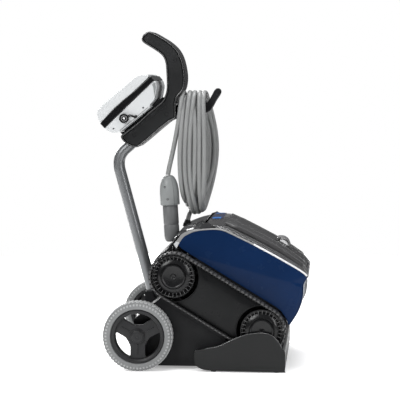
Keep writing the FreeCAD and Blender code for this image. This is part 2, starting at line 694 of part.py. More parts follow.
def build_lid():
    window = [(30, 168.6), (50, 175), (79, 179), (151, 186), (207, 189), (282, 191), (306, 188), (314, 187),
              (308, 196), (296, 205), (276, 213), (182, 214), (121, 209), (47, 202), (35, 197), (3, 171.4),
              (12, 168.6)]
    body = extruded("lid_window", place_on_robot, window, "pulley_gap", "robot_high", "2 * Dims.lid_half")
    round_off(body, 6, lambda edge: runs_along_side(edge))
    inside = [(34, 160), (300, 160), (300, 196), (291, 203), (274, 209.6), (182, 210.6), (121, 205.6),
              (48, 198.6), (37, 194), (20, 180), (14, 160)]
    hollow(body, "window_inside", inside, "pulley_gap", "robot_high", "2 * Dims.lid_half - 7")
    frame = [(2, 158.5), (11, 158.5), (13, 167), (294, 167), (299, 170), (300.5, 187), (282, 190.4), (207, 188.4),
             (151, 185.4), (79, 178.4), (50, 174.4), (31, 168.2), (12, 168.2), (2, 167)]
    frame_body = extruded("lid_frame", place_on_robot, frame, "pulley_gap", "robot_high", "2 * Dims.lid_half - 36")
    hollow(frame_body, "frame_inside", [(24, 150), (290, 150), (290, 200), (24, 200)], "pulley_gap", "robot_high",
           "2 * Dims.lid_half - 72")
    barrel = new_sketch(frame_body, "barrel_bore")
    circle(barrel, (6, 163), "Dims.pin_r + Dims.running_gap", "pulley_gap", "robot_high")
    pocket(frame_body, barrel, "3 * Dims.hull_half")
    badge = [(9, 181.6), (35, 202), (36, 206), (10, 186)]
    extruded("lid_badge", place_on_robot, badge, "pulley_gap", "robot_high", "64")
    grip = [(196, 214.4), (236, 214.4), (233, 219), (218, 227), (204, 226), (197, 220)]
    latch = extruded("lid_latch", place_on_robot, grip, "pulley_gap", "robot_high", "44")
    loop = [(205, 210), (226, 210), (224, 216), (216, 221.5), (206, 221)]
    hollow(latch, "latch_loop", loop, "pulley_gap", "robot_high", "50")
    pin = cylinder("hinge_rod", "Dims.pin_r", "2 * Dims.lid_half - 14")
    pin.setExpression("Placement.Base.y", "7 - Dims.lid_half")
    pin.setExpression("Placement.Base.x", bound(6, "pulley_gap"))
    pin.setExpression("Placement.Base.z", bound(163, "robot_high"))
    group("lid_hinge_pin", [pin], place_on_robot)


def runs_along_side(edge):
    """True for the long upper edges of the lid, where its top meets its two sides."""
    box = edge.BoundBox
    return box.YLength < 0.01 and box.XLength > 40 and edge.CenterOfMass.z > 195


def build_inside():
    basket = [(84, 12), (200, 12), (203, 36), (236, 79), (292, 81), (299, 100), (288, 138), (285, 160), (38, 160),
              (38, 80), (66, 64)]
    body = extruded("filter_basket", place_on_robot, basket, "pulley_gap", "robot_high", "2 * Dims.bay_half - 10")
    room = [(88, 16), (196, 16), (200, 38), (234, 83), (289, 85), (295, 100), (284, 138), (281, 180), (42, 180),
            (42, 82), (68, 67)]
    hollow(body, "basket_inside", room, "pulley_gap", "robot_high", "2 * Dims.bay_half - 18")
    motor = cylinder("pump_can", "Dims.motor_r", "40", (0, 0, 1))
    motor.setExpression("Placement.Base.x", bound(-6, "pulley_gap"))
    motor.setExpression("Placement.Base.z", bound(76, "robot_high"))
    shaft = cylinder("pump_shaft", "Dims.pin_r", "10", (0, 0, 1))
    shaft.setExpression("Placement.Base.x", bound(-6, "pulley_gap"))
    shaft.setExpression("Placement.Base.z", bound(116, "robot_high"))
    pump = doc.addObject("Part::MultiFuse", "pump_fuse")
    pump.Shapes = [motor, shaft]
    group("pump_motor", [pump], place_on_robot)
    drives = []
    for side in SIDES.values():
        drive = cylinder("drive_can", "Dims.drive_r", "70")
        drive.setExpression("Placement.Base.x", bound(110, "pulley_gap"))
        drive.setExpression("Placement.Base.y", "86" if side > 0 else "-156")
        drive.setExpression("Placement.Base.z", bound(-20, "robot_high"))
        drives.append(drive)
    group("drive_motors", drives, place_on_robot)


def build_impeller():
    def place(obj):
        place_on_robot(obj, along=bound(-6, "pulley_gap"), out=bound(118.5, "robot_high"))

    body = new_body("impeller", place)
    hub = new_sketch(body, "hub", "XY_Plane")
    circle(hub, (0, 0), "8", "impeller_r", "impeller_r")
    circle(hub, (0, 0), "Dims.pin_r + Dims.running_gap", "impeller_r", "impeller_r")
    pad(body, hub, "7", midplane=False)
    blade = new_sketch(body, "blade", "XY_Plane")
    polygon(blade, [(-3, 6), (3, 6), (7, 22), (-3, 23)], "impeller_r", "impeller_r")
    polar(body, pad(body, blade, "6", midplane=False), 4, "Z_Axis")


def build_boot():
    boot = doc.addObject("Part::Cone", "boot_cone")
    boot.Radius1 = 11
    boot.setExpression("Radius2", "Dims.cable_r + 1.5")
    boot.Height = 20
    turn = FreeCAD.Rotation(FreeCAD.Vector(0, 0, 1), FreeCAD.Vector(0.2, 0, 0.98))
    boot.Placement = FreeCAD.Placement(FreeCAD.Vector(111.5, 0, 371), turn)
    group("cable_boot", [boot], place_on_caddy)


# ---------------------------------------------------------------- control box

CASE_OUTLINE = [
    (-14.6, 43.7), (-13.5, 33), (-10.5, 26), (-4, 17.5), (11, 8.4), (119, 6.6), (123, 13), (142, 15.5), (155, 26),
    (169, 37.5), (175, 50), (175.4, 55.8),
]
LID_OUTLINE = [(-15.5, 61.7), (174.8, 72.55), (168, 83), (157, 92), (143, 97), (12, 97), (-3, 91), (-12, 75)]
BAND_OUTLINE = [(-15, 44), (176, 56.1), (175.4, 72.2), (-15.8, 61.4)]


def build_control_box():
    size = ("box_len", "box_high")
    case = extruded("box_case", place_on_box, CASE_OUTLINE, *size, "2 * Dims.box_half")
    inside = [(-8, 31), (0, 20), (13, 12), (116, 10.4), (120, 17), (141, 19.4), (153, 29.5), (165, 39.5), (171, 51),
              (171, 90), (-8, 90)]
    hollow(case, "case_inside", inside, *size, "2 * (Dims.box_half - Dims.box_wall)")
    bore = new_sketch(case, "outlet_hole", offset="Dims.box_half - Dims.box_wall - 1")
    circle(bore, (45, 29.5), "Dims.outlet_bore_r", *size)
    pocket(case, bore, "Dims.box_wall + 2", midplane=False, reverse=True)
    lid = extruded("box_lid", place_on_box, LID_OUTLINE, *size, "2 * Dims.box_half")
    roof = [(-12, 20), (170.8, 20), (170.8, 73.6), (164.5, 81), (155, 88.6), (142, 93.4), (13, 93.4), (0, 88), (-8, 74)]
    hollow(lid, "lid_inside", roof, *size, "2 * (Dims.box_half - Dims.box_wall)")
    holes = new_sketch(lid, "button_holes", "XY_Plane", offset="Dims.box_high - 10")
    for along in (60, 100):
        circle(holes, (along, 0), "Dims.button_r + 0.4", "box_len", "box_half")
    pocket(lid, holes, "20", midplane=False, reverse=True)
    band = extruded("box_band", place_on_box, BAND_OUTLINE, *size, "2 * Dims.band_half")
    opening = [(-6, 0), (165, 0), (165, 110), (-6, 110)]
    hollow(band, "band_inside", opening, *size, "2 * (Dims.band_half - 9)")


def build_box_fittings():
    def at_outlet(obj):
        place_on_box(obj, along=bound(45, "box_len"), out=bound(29.5, "box_high"), y="0")

    outlet = [(8.5, -120), (13, -120), (13, -110.3), (11, -110.3), (11, -108), (8.5, -108)]
    turned("box_outlet", at_outlet, outlet, "outlet_r", "box_half")
    tether = [(58.5, 25), (61.5, 28), (71.5, 11), (68, 9.6)]
    side_extruded("outlet_tether", place_on_box, tether, "box_len", "box_high", -1, "Dims.box_half + 0.2",
                  "Dims.box_half + 4")
    board = doc.addObject("Part::Box", "board_plate")
    board.Length = 120
    board.setExpression("Width", "2 * Dims.box_half - 40")
    board.Height = 26
    board.setExpression("Placement.Base.y", "20 - Dims.box_half")
    board.setExpression("Placement.Base.x", "25")
    board.setExpression("Placement.Base.z", "27")
    group("power_module", [board], place_on_box)
    for name, along in (("start", 60), ("mode", 100)):
        button = cylinder(f"{name}_cap", "Dims.button_r", "6", (0, 0, 1))
        button.setExpression("Placement.Base.x", bound(along, "box_len"))
        button.setExpression("Placement.Base.z", "Dims.box_high - 4")
        group(f"{name}_button", [button], place_on_box)


# ---------------------------------------------------------------- cable, coil and swivel

COIL_SIDE = [
    (124, 404), (148, 404), (156, 412), (165, 432), (178, 470), (192, 530), (199, 588), (196, 640), (184, 700),
    (172, 738), (166, 752), (156, 758), (118, 758), (107, 752), (101, 738), (97, 700), (92.5, 650), (89, 588),
    (93, 520), (98, 470), (104, 436), (114, 416),
]
COIL_OUTER = [(0, 404), (20, 406), (42, 420), (57, 450), (66, 500), (68, 580), (66, 640), (61, 700), (55, 730),
              (44, 748), (26, 756)]
COIL_INNER = [(0, 440), (15, 446), (25, 464), (29, 500), (30, 580), (28, 640), (24.2, 700), (22.4, 716.3)]
SWIVEL_CABLE = [(63.5, -45, 521.3), (69.5, -44.5, 560), (79, -43, 598), (89, -41, 630), (97, -38, 650)]
INLET_CABLE = [(115.6, 0, 391.2), (119.6, 0, 410.8)]


def mirrored(points):
    """A right half outline, from the bottom up, with its left half added."""
    return points + [(-y, z) for y, z in reversed(points) if y > 0]


def build_coil():
    side = new_body("coil_side", place_on_caddy)
    sketch = new_sketch(side, "coil_side_outline")
    polygon(sketch, COIL_SIDE, "coil_len", "coil_high")
    pad(side, sketch, "2 * Dims.coil_half + 10")
    ring = new_body("coil_ring", place_on_caddy)
    outline = new_sketch(ring, "coil_ring_outline", "YZ_Plane")
    polygon(outline, mirrored(COIL_OUTER), "coil_half", "coil_high")
    polygon(outline, mirrored(COIL_INNER), "coil_half", "coil_high")
    pad(ring, outline, "2 * Dims.coil_len + 20")
    for half in (side, ring):
        sub_parts.remove(half)
    whole = doc.addObject("Part::Common", "coil_whole")
    whole.Base = side
    whole.Tool = ring
    bend = doc.addObject("Part::Box", "hook_room")
    bend.Length = 40
    bend.setExpression("Width", "2 * Dims.hook_half + 1")
    bend.Height = 50
    bend.setExpression("Placement.Base.x", "164 - Dims.origin_x")
    bend.setExpression("Placement.Base.y", "-Dims.hook_half - 0.5")
    bend.setExpression("Placement.Base.z", "Dims.hook_high - 66")
    cut("cable_coil", whole, bend, stay)


def build_cables():
    for label, points in (("swivel_cable", SWIVEL_CABLE), ("inlet_cable", INLET_CABLE)):
        path, radii = bent_path(points)
        print(label, "bend radii", [round(radius) for radius in radii], "length", round(path.Length))
        feature_from(label, swept(path, dim("cable_r")))


def build_swivel():
    housing = [(0, 0), (27, 0), (27, 44), (24, 62), (17, 76), (9, 84), (0, 84)]
    turned("swivel_housing", place_on_swivel, housing, "swivel_r", "swivel_z", "XZ_Plane")
    barrel = [(0, -0.3), (0, -88), (13.1, -88), (13.1, -103), (16, -103), (19.5, -99), (21.5, -92), (21.5, -58),
              (20.5, -57), (20.5, -55), (21.5, -54), (21.5, -0.3)]
    turned("swivel_barrel", place_on_swivel, barrel, "barrel_r", "swivel_z", "XZ_Plane")


# ---------------------------------------------------------------- checks and export

def check_document():
    doc.recompute()
    for obj in doc.Objects:
        if "Invalid" in obj.State or "Error" in obj.State:
            raise RuntimeError(f"{obj.Label} failed: {obj.State}")
    for obj in sub_parts:
        if obj.Shape.isNull() or not obj.Shape.isValid():
            raise RuntimeError(f"{obj.Label} has no valid shape")


def export():
    os.makedirs("parts", exist_ok=True)
    for obj in sub_parts:
        obj.Shape.exportStep(f"parts/{obj.Label}.step")
    print(len(sub_parts), "sub-parts")


fill_sheet()
build_base()
build_cradle()
build_feet()
build_socket()
build_mast()
build_wheels()
build_handle()
build_handle_screws()
build_hook()
build_box_cradle()
build_hull()
build_side_parts()
build_tracks()
build_brushes()
build_ends()
build_lid()
build_inside()
build_impeller()
build_boot()
build_control_box()
build_box_fittings()
build_coil()
build_cables()
build_swivel()
check_document()
export()
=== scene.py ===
import math
import random

import bmesh
import bpy
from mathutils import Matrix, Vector


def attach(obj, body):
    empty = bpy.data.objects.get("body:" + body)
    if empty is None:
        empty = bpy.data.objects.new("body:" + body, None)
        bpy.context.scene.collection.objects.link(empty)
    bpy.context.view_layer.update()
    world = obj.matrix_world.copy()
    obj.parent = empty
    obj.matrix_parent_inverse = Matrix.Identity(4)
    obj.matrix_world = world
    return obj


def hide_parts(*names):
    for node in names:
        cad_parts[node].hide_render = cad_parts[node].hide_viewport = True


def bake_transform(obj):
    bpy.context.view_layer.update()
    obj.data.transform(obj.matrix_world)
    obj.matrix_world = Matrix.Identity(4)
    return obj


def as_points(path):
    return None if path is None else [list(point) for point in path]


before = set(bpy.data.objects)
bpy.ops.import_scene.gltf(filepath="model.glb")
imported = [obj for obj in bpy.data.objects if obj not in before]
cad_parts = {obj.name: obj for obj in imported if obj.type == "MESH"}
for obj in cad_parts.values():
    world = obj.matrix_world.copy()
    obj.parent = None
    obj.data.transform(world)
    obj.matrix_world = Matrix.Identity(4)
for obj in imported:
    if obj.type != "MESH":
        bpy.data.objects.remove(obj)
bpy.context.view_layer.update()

MM = 0.001
AXLE_X = 167  # the wheel axle lies this far behind the origin
WHEEL_R = 95
WHEEL_Y = 222  # from the middle of the caddy to the middle of a wheel
SIDES = (("right", -1), ("left", 1))
random.seed(7)


# ---------------------------------------------------------------- places, in millimetres

def caddy(x, y, z):
    """From the wheel axle along X, from the middle along Y, up from the floor."""
    return Vector((x - AXLE_X, y, z)) * MM


def tilted(origin, degrees):
    """A frame whose first axis slopes down by an angle; (along, y, out) to a point in the row frame."""
    cosine = math.cos(math.radians(degrees))
    sine = math.sin(math.radians(degrees))

    def place(along, y, out):
        return caddy(origin[0] + along * cosine + out * sine, origin[1] + y,
                     origin[2] - along * sine + out * cosine)
    return place


robot = tilted((95.2, 0, 255.8), 31.26)  # from the rear pulleys' axis towards the front ones
box = tilted((-66, 0, 628), -40)  # up along the control box's floor from its low end
swivel = tilted((69.7, -45, 437), -3.4)  # out is up the swivel's axis from the joint of its two pieces


# ---------------------------------------------------------------- outlines

def rounded(points, radius, steps=5, closed=True):
    """Corners cut back by up to a radius and rounded."""
    count = len(points)
    result = []
    for i, corner in enumerate(points):
        if not closed and i in (0, count - 1):
            result.append(Vector(corner))
            continue
        p = Vector(corner)
        before = Vector(points[i - 1]) - p
        after = Vector(points[(i + 1) % count]) - p
        start = p + before.normalized() * min(radius, before.length * 0.48)
        end = p + after.normalized() * min(radius, after.length * 0.48)
        for k in range(steps + 1):
            t = k / steps
            result.append(start * (1 - t) ** 2 + p * 2 * t * (1 - t) + end * t ** 2)
    return [tuple(p) for p in result]


def flowing(points, steps=4, closed=True):
    """A Catmull-Rom line through the points."""
    count = len(points)
    result = []
    for i in range(count if closed else count - 1):
        if closed:
            p = [Vector(points[(i + k) % count]) for k in (-1, 0, 1, 2)]
        else:
            p = [Vector(points[min(max(i + k, 0), count - 1)]) for k in (-1, 0, 1, 2)]
        for k in range(steps):
            t = k / steps
            straight = 2 * p[1] + (p[2] - p[0]) * t
            bent = (2 * p[0] - 5 * p[1] + 4 * p[2] - p[3]) * t ** 2
            turned = (3 * p[1] - p[0] - 3 * p[2] + p[3]) * t ** 3
            result.append(0.5 * (straight + bent + turned))
    if not closed:
        result.append(Vector(points[-1]))
    return [tuple(p) for p in result]


def anticlockwise(points):
    """The points of an outline in anticlockwise order."""
    area = sum(a[0] * b[1] - b[0] * a[1] for a, b in zip(points, list(points[1:]) + [points[0]]))
    return list(points) if area > 0 else list(reversed(points))


def shrunk(points, wall):
    """An outline moved inwards by a wall."""
    points = anticlockwise(points)
    moved = []
    count = len(points)
    for i in range(count):
        a, b, c = (Vector(points[(i + k) % count]) for k in (-1, 0, 1))
        one = (b - a).normalized()
        two = (c - b).normalized()
        normal = Vector((-(one + two).y, (one + two).x)).normalized()
        moved.append(tuple(b + normal * wall / max(0.4, normal.dot(Vector((-one.y, one.x))))))
    return moved


def resampled(points, count):
    """Points evenly spaced along a line."""
    line = [Vector(p) for p in points]
    reach = [0.0]
    for a, b in zip(line, line[1:]):
        reach.append(reach[-1] + (b - a).length)
    result = []
    for k in range(count):
        want = reach[-1] * k / (count - 1)
        i = max(j for j in range(len(line) - 1) if reach[j] <= want + 1e-9)
        share = (want - reach[i]) / max(reach[i + 1] - reach[i], 1e-9)
        result.append(line[i].lerp(line[i + 1], share))
    return result


def height_at(line, along):
    """The second number of a line of points where its first number is given."""
    for (a, low), (b, high) in zip(line, line[1:]):
        if along <= b:
            return low + (high - low) * (along - a) / max(b - a, 1e-6)
    return line[-1][1]


# ---------------------------------------------------------------- meshes

def made(name, bm, bevel=0.0, steps=3, angle=35):
    """A smooth-shaded object from a bmesh, with its hard edges bevelled by a width in millimetres."""
    bmesh.ops.remove_doubles(bm, verts=bm.verts, dist=1e-6)
    bmesh.ops.recalc_face_normals(bm, faces=bm.faces)
    mesh = bpy.data.meshes.new(name)
    bm.to_mesh(mesh)
    bm.free()
    mesh.shade_smooth()
    obj = bpy.data.objects.new(name, mesh)
    bpy.context.scene.collection.objects.link(obj)
    if bevel:
        rim = obj.modifiers.new("rim", "BEVEL")
        rim.width = bevel * MM
        rim.segments = steps
        rim.limit_method = "ANGLE"
        rim.angle_limit = math.radians(angle)
        rim.use_clamp_overlap = True
        obj.modifiers.new("normals", "WEIGHTED_NORMAL").keep_sharp = True
    else:
        mesh.set_sharp_from_angle(angle=math.radians(angle))
    return obj


def add_prism(bm, outline, place, low, high):
    """A closed prism between two widths; returns its two caps."""
    near = [bm.verts.new(place(a, low, b)) for a, b in outline]
    far = [bm.verts.new(place(a, high, b)) for a, b in outline]
    count = len(outline)
    for i in range(count):
        j = (i + 1) % count
        bm.faces.new((near[i], far[i], far[j], near[j]))
    return [bm.faces.new(near), bm.faces.new(list(reversed(far)))]


def slab(name, outline, place, low, high, bevel=2.0, steps=3, recess=None, angle=35):
    """An outline given thickness, with a sunk panel (rim, depth) in both sides."""
    bm = bmesh.new()
    caps = add_prism(bm, anticlockwise(outline), place, low, high)
    bmesh.ops.recalc_face_normals(bm, faces=bm.faces)
    if recess:
        for cap in caps:
            bmesh.ops.inset_region(bm, faces=[cap], thickness=recess[0] * MM, depth=-recess[1] * MM,
                                   use_even_offset=True)
    return made(name, bm, bevel, steps, angle)


BLOCK_FACES = ((0, 1, 2, 3), (7, 6, 5, 4), (0, 4, 5, 1), (1, 5, 6, 2), (2, 6, 7, 3), (3, 7, 4, 0))


def add_block(bm, low, high):
    """A closed block between two rings of four points."""
    corners = [bm.verts.new(p) for p in (*low, *high)]
    for face in BLOCK_FACES:
        bm.faces.new([corners[i] for i in face])


def add_lathe(bm, profile, point, count=72):
    """Rings of a (radius, height) profile; point(radius, height, angle) gives the place."""
    rings = []
    for k in range(count):
        angle = 2 * math.pi * k / count
        rings.append([bm.verts.new(point(r, h, angle)) for r, h in profile])
    for one, two in zip(rings, rings[1:] + rings[:1]):
        for i in range(len(profile) - 1):
            bm.faces.new((one[i], two[i], two[i + 1], one[i + 1]))


def lathe(name, profile, point, count=72, bevel=0.0, angle=35, steps=2):
    bm = bmesh.new()
    add_lathe(bm, profile, point, count)
    bmesh.ops.remove_doubles(bm, verts=bm.verts, dist=1e-6)
    bmesh.ops.dissolve_degenerate(bm, dist=1e-7, edges=bm.edges)
    return made(name, bm, bevel, steps, angle)


def about_y(place, along, out, side=1):
    """Lathe points about an axis along Y through a place in a tilted frame."""
    return lambda r, h, angle: place(along + r * math.cos(angle), side * h, out + r * math.sin(angle))


def about_out(place, along, y):
    """Lathe points about an axis along a frame's own out direction."""
    return lambda r, h, angle: place(along + r * math.cos(angle), y + r * math.sin(angle), h)


def add_grid(bm, rows, loop=False):
    """Quads between rows of points."""
    lines = [[bm.verts.new(p) for p in row] for row in rows]
    for one, two in zip(lines, lines[1:]):
        count = len(one)
        for i in range(count if loop else count - 1):
            j = (i + 1) % count
            bm.faces.new((one[i], one[j], two[j], two[i]))
    return lines


def add_bar(bm, rows):
    """A closed bar through rings of points."""
    lines = add_grid(bm, rows, loop=True)
    bm.faces.new(lines[0])
    bm.faces.new(list(reversed(lines[-1])))


def thick(obj, millimetres, offset=-1):
    """Gives a sheet its wall, before any bevel."""
    wall = obj.modifiers.new("wall", "SOLIDIFY")
    wall.thickness = millimetres * MM
    wall.offset = offset
    wall.use_even_offset = True
    obj.modifiers.move(len(obj.modifiers) - 1, 0)
    return obj


def sheet(name, rows, bevel=0.0, steps=3, angle=35, loop=False):
    """A surface through rows of points."""
    bm = bmesh.new()
    add_grid(bm, rows, loop)
    return made(name, bm, bevel, steps, angle)


def bar(name, rows, bevel=0.0, steps=3, angle=35):
    """A closed bar through rings of points, as an object."""
    bm = bmesh.new()
    add_bar(bm, rows)
    return made(name, bm, bevel, steps, angle)


def neighbours(line, i):
    """The unit direction of a line of points at one of them."""
    before, after = line[max(i - 1, 0)], line[min(i + 1, len(line) - 1)]
    return Vector((after[0] - before[0], after[1] - before[1])).normalized()


def spline(name, points, radius, kind="NURBS", resolution=6):
    """A curve through a route of points in the row frame."""
    data = bpy.data.curves.new(name, "CURVE")
    data.dimensions = "3D"
    data.resolution_u = resolution
    data.bevel_depth = radius
    data.bevel_resolution = 5
    data.use_fill_caps = True
    line = data.splines.new(kind)
    line.points.add(len(points) - 1)
    for point, place in zip(line.points, points):
        point.co = (*place, 1)
    if kind == "NURBS":
        line.order_u = 3
        line.use_endpoint_u = True
    return bpy.data.objects.new(name, data)


def tube(name, points, radius, kind="NURBS", resolution=6):
    """A round bar along a route, as a mesh."""
    source = spline(name + "_line", points, radius * MM, kind, resolution)
    bpy.context.scene.collection.objects.link(source)
    bpy.context.view_layer.update()
    mesh = bpy.data.meshes.new_from_object(source)
    bpy.data.objects.remove(source)
    mesh.shade_smooth()
    mesh.set_sharp_from_angle(angle=math.radians(50))
    obj = bpy.data.objects.new(name, mesh)
    bpy.context.scene.collection.objects.link(obj)
    return obj


def joined(name, *objects):
    """One mesh from several, with their modifiers applied."""
    graph = bpy.context.evaluated_depsgraph_get()
    bm = bmesh.new()
    for obj in objects:
        bm.from_object(obj, graph)
    mesh = bpy.data.meshes.new(name)
    bm.to_mesh(mesh)
    bm.free()
    for obj in objects:
        bpy.data.objects.remove(obj)
    result = bpy.data.objects.new(name, mesh)
    bpy.context.scene.collection.objects.link(result)
    return result


def skin(name, node, bevel=1.5, steps=2, angle=30):
    """A CAD node's own shape as a new piece, with its edges rounded."""
    bm = bmesh.new()
    bm.from_mesh(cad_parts[node].data)
    bmesh.ops.remove_doubles(bm, verts=bm.verts, dist=1e-5)
    bmesh.ops.dissolve_limit(bm, angle_limit=math.radians(1), verts=bm.verts, edges=bm.edges)
    return made(name, bm, bevel, steps, angle)


# ---------------------------------------------------------------- materials

M = {}  # every finish by its name


def finish(name, color, roughness, *, metallic=0.0, grain=900.0, bump=0.12, vary=0.12, patches=14.0,
           spread=0.1, coat=0.0, alpha=1.0, stretch=(1, 1, 1), specular=0.5):
    """Moulded plastic, rubber, paint or metal: uneven colour and gloss, with a fine grain."""
    material = bpy.data.materials.new(name)
    material.use_nodes = True
    tree = material.node_tree
    shader = tree.nodes["Principled BSDF"]
    shader.inputs["Metallic"].default_value = metallic
    shader.inputs["Coat Weight"].default_value = coat
    shader.inputs["Coat Roughness"].default_value = 0.06
    shader.inputs["Alpha"].default_value = alpha
    shader.inputs["Specular IOR Level"].default_value = specular

    def node(kind, **values):
        made_node = tree.nodes.new(kind)
        for key, value in values.items():
            made_node.inputs[key].default_value = value
        return made_node

    place = tree.nodes.new("ShaderNodeTexCoord")
    scale = node("ShaderNodeMapping", Scale=stretch)
    tree.links.new(place.outputs["Object"], scale.inputs["Vector"])
    cloud = node("ShaderNodeTexNoise", Scale=patches, Detail=3.0)
    fine = node("ShaderNodeTexNoise", Scale=grain, Detail=2.0)
    smudge = node("ShaderNodeTexNoise", Scale=patches * 4.3, Detail=4.0, Roughness=0.62)
    for noise in (cloud, fine, smudge):
        tree.links.new(scale.outputs["Vector"], noise.inputs["Vector"])
    ramp = tree.nodes.new("ShaderNodeValToRGB")
    dark, light = ramp.color_ramp.elements
    dark.position, light.position = 0.3, 0.72
    dark.color = (*[c * (1 - vary) for c in color], 1)
    light.color = (*[min(1, c * (1 + vary)) for c in color], 1)
    tree.links.new(cloud.outputs["Fac"], ramp.inputs["Fac"])
    tree.links.new(ramp.outputs["Color"], shader.inputs["Base Color"])
    gloss = node("ShaderNodeMapRange")
    gloss.inputs["From Min"].default_value = 0.3
    gloss.inputs["From Max"].default_value = 0.7
    gloss.inputs["To Min"].default_value = max(0.02, roughness - spread)
    gloss.inputs["To Max"].default_value = min(1.0, roughness + spread)
    tree.links.new(smudge.outputs["Fac"], gloss.inputs["Value"])
    tree.links.new(gloss.outputs["Result"], shader.inputs["Roughness"])
    if bump:
        relief = node("ShaderNodeBump", Strength=bump, Distance=0.0004)
        tree.links.new(fine.outputs["Fac"], relief.inputs["Height"])
        tree.links.new(relief.outputs["Normal"], shader.inputs["Normal"])
    M[name] = material
    return material


finish("black_plastic", (0.0085, 0.0088, 0.0095), 0.5, bump=0.2, vary=0.2, specular=0.12)
finish("cup_plastic", (0.0075, 0.008, 0.0082), 0.34, bump=0.03, vary=0.05, patches=6, specular=0.2,
       spread=0.02)
# Painted highlight: the lips on the cup's top edges and the rims round the handle are a lighter grey than
# the black plastic, standing in for the highlights along those edges.
finish("lip_painted_highlight", (0.06, 0.061, 0.062), 0.26, bump=0.02, vary=0.08, coat=0.6, specular=1.0, spread=0.02)
finish("handle_plastic", (0.0035, 0.0037, 0.0041), 0.24, bump=0.08, vary=0.15, specular=0.4)
finish("handle_inlay", (0.0145, 0.015, 0.0155), 0.36, bump=0.05, vary=0.3, patches=9, specular=0.2,
       spread=0.03)
finish("track_cover", (0.0055, 0.0058, 0.0062), 0.33, bump=0.1, vary=0.12, patches=8, specular=0.12)
finish("pulley_plastic", (0.006, 0.0062, 0.0066), 0.2, bump=0.08, vary=0.18, specular=0.24, spread=0.06)
finish("wheel_plastic", (0.014, 0.0143, 0.015), 0.4, bump=0.16, vary=0.12, specular=0.2)
finish("dark_trim", (0.028, 0.028, 0.029), 0.42, bump=0.15, specular=0.3)
finish("grey_trim", (0.2, 0.2, 0.2), 0.34, bump=0.1, vary=0.07, specular=0.45)
finish("gloss_black", (0.005, 0.005, 0.0055), 0.13, bump=0.02, vary=0.2, specular=0.45, spread=0.04)
finish("white_shell", (0.5, 0.512, 0.518), 0.24, bump=0.04, vary=0.02, coat=0.2, spread=0.06)
finish("blue_panel", (0.003, 0.0142, 0.051), 0.25, bump=0.03, vary=0.08, patches=7, spread=0.04,
       specular=0.085)
finish("badge_blue", (0.004, 0.125, 0.42), 0.25, bump=0.03, vary=0.08, coat=0.2)
finish("button_blue", (0.012, 0.11, 0.42), 0.35, bump=0.05)
finish("swivel_plastic", (0.185, 0.194, 0.194), 0.46, bump=0.2, vary=0.06, specular=0.35)
# Painted shade: the barrel is a darker copy of the swivel housing's grey, standing in for the shade on it.
finish("barrel_painted_shade", (0.105, 0.108, 0.11), 0.44, bump=0.15, vary=0.06, specular=0.3)
finish("cable", (0.19, 0.194, 0.193), 0.42, bump=0.14, vary=0.07, patches=9, specular=0.4)
finish("black_rubber", (0.0085, 0.0085, 0.009), 0.6, bump=0.35, vary=0.25, grain=600, specular=0.25)
finish("grey_tyre", (0.15, 0.154, 0.155), 0.6, bump=0.3, vary=0.07, grain=500, specular=0.3)
finish("grey_tube", (0.15, 0.155, 0.16), 0.3, metallic=0.45, bump=0.03, vary=0.03, grain=1400, specular=0.4,
       spread=0.03)
finish("steel", (0.55, 0.55, 0.56), 0.28, metallic=1.0, bump=0.1, vary=0.06, stretch=(1, 6, 1))
finish("smoked_window", (0.062, 0.062, 0.064), 0.12, bump=0.02, vary=0.06, alpha=0.5, spread=0.04)
finish("smoked_ridge", (0.12, 0.12, 0.122), 0.16, bump=0.02, vary=0.06, alpha=0.8, spread=0.04)
finish("smoked_cover", (0.03, 0.03, 0.031), 0.1, bump=0.02, vary=0.1, spread=0.04)
finish("latch_grey", (0.13, 0.13, 0.132), 0.16, bump=0.03, vary=0.06, spread=0.04, specular=0.6)
finish("bright_plate", (0.75, 0.75, 0.76), 0.2, bump=0.02, vary=0.03, spread=0.04)
finish("bright_trim", (0.62, 0.62, 0.63), 0.22, bump=0.03, vary=0.05, spread=0.05)
finish("badge_navy", (0.006, 0.012, 0.05), 0.2, bump=0.02, vary=0.08, spread=0.04)
# Painted highlight: the pulley ribs are a lighter grey than the pulley so they read as lit edges.
finish("rib_plastic_painted_highlight", (0.07, 0.07, 0.071), 0.25, bump=0.05, vary=0.1, spread=0.05)
finish("belt_rubber", (0.055, 0.055, 0.056), 0.5, bump=0.3, vary=0.15, grain=600, specular=0.4)
# Painted highlight: the tyre's nubs are a lighter copy of the tyre rubber so they read as lit.
finish("tyre_nubs_painted_highlight", (0.27, 0.275, 0.275), 0.5, bump=0.2, vary=0.08, grain=500, specular=0.35)


def piece(obj, material, body, *nodes, slot=None):
    """Finishes a piece: its material, the body it rides on, and the CAD nodes it stands for."""
    obj.data.materials.clear()
    obj.data.materials.append(M[material])
    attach(obj, body)
    if nodes:
        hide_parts(*nodes)
    return obj


# ---------------------------------------------------------------- camera, light and floor

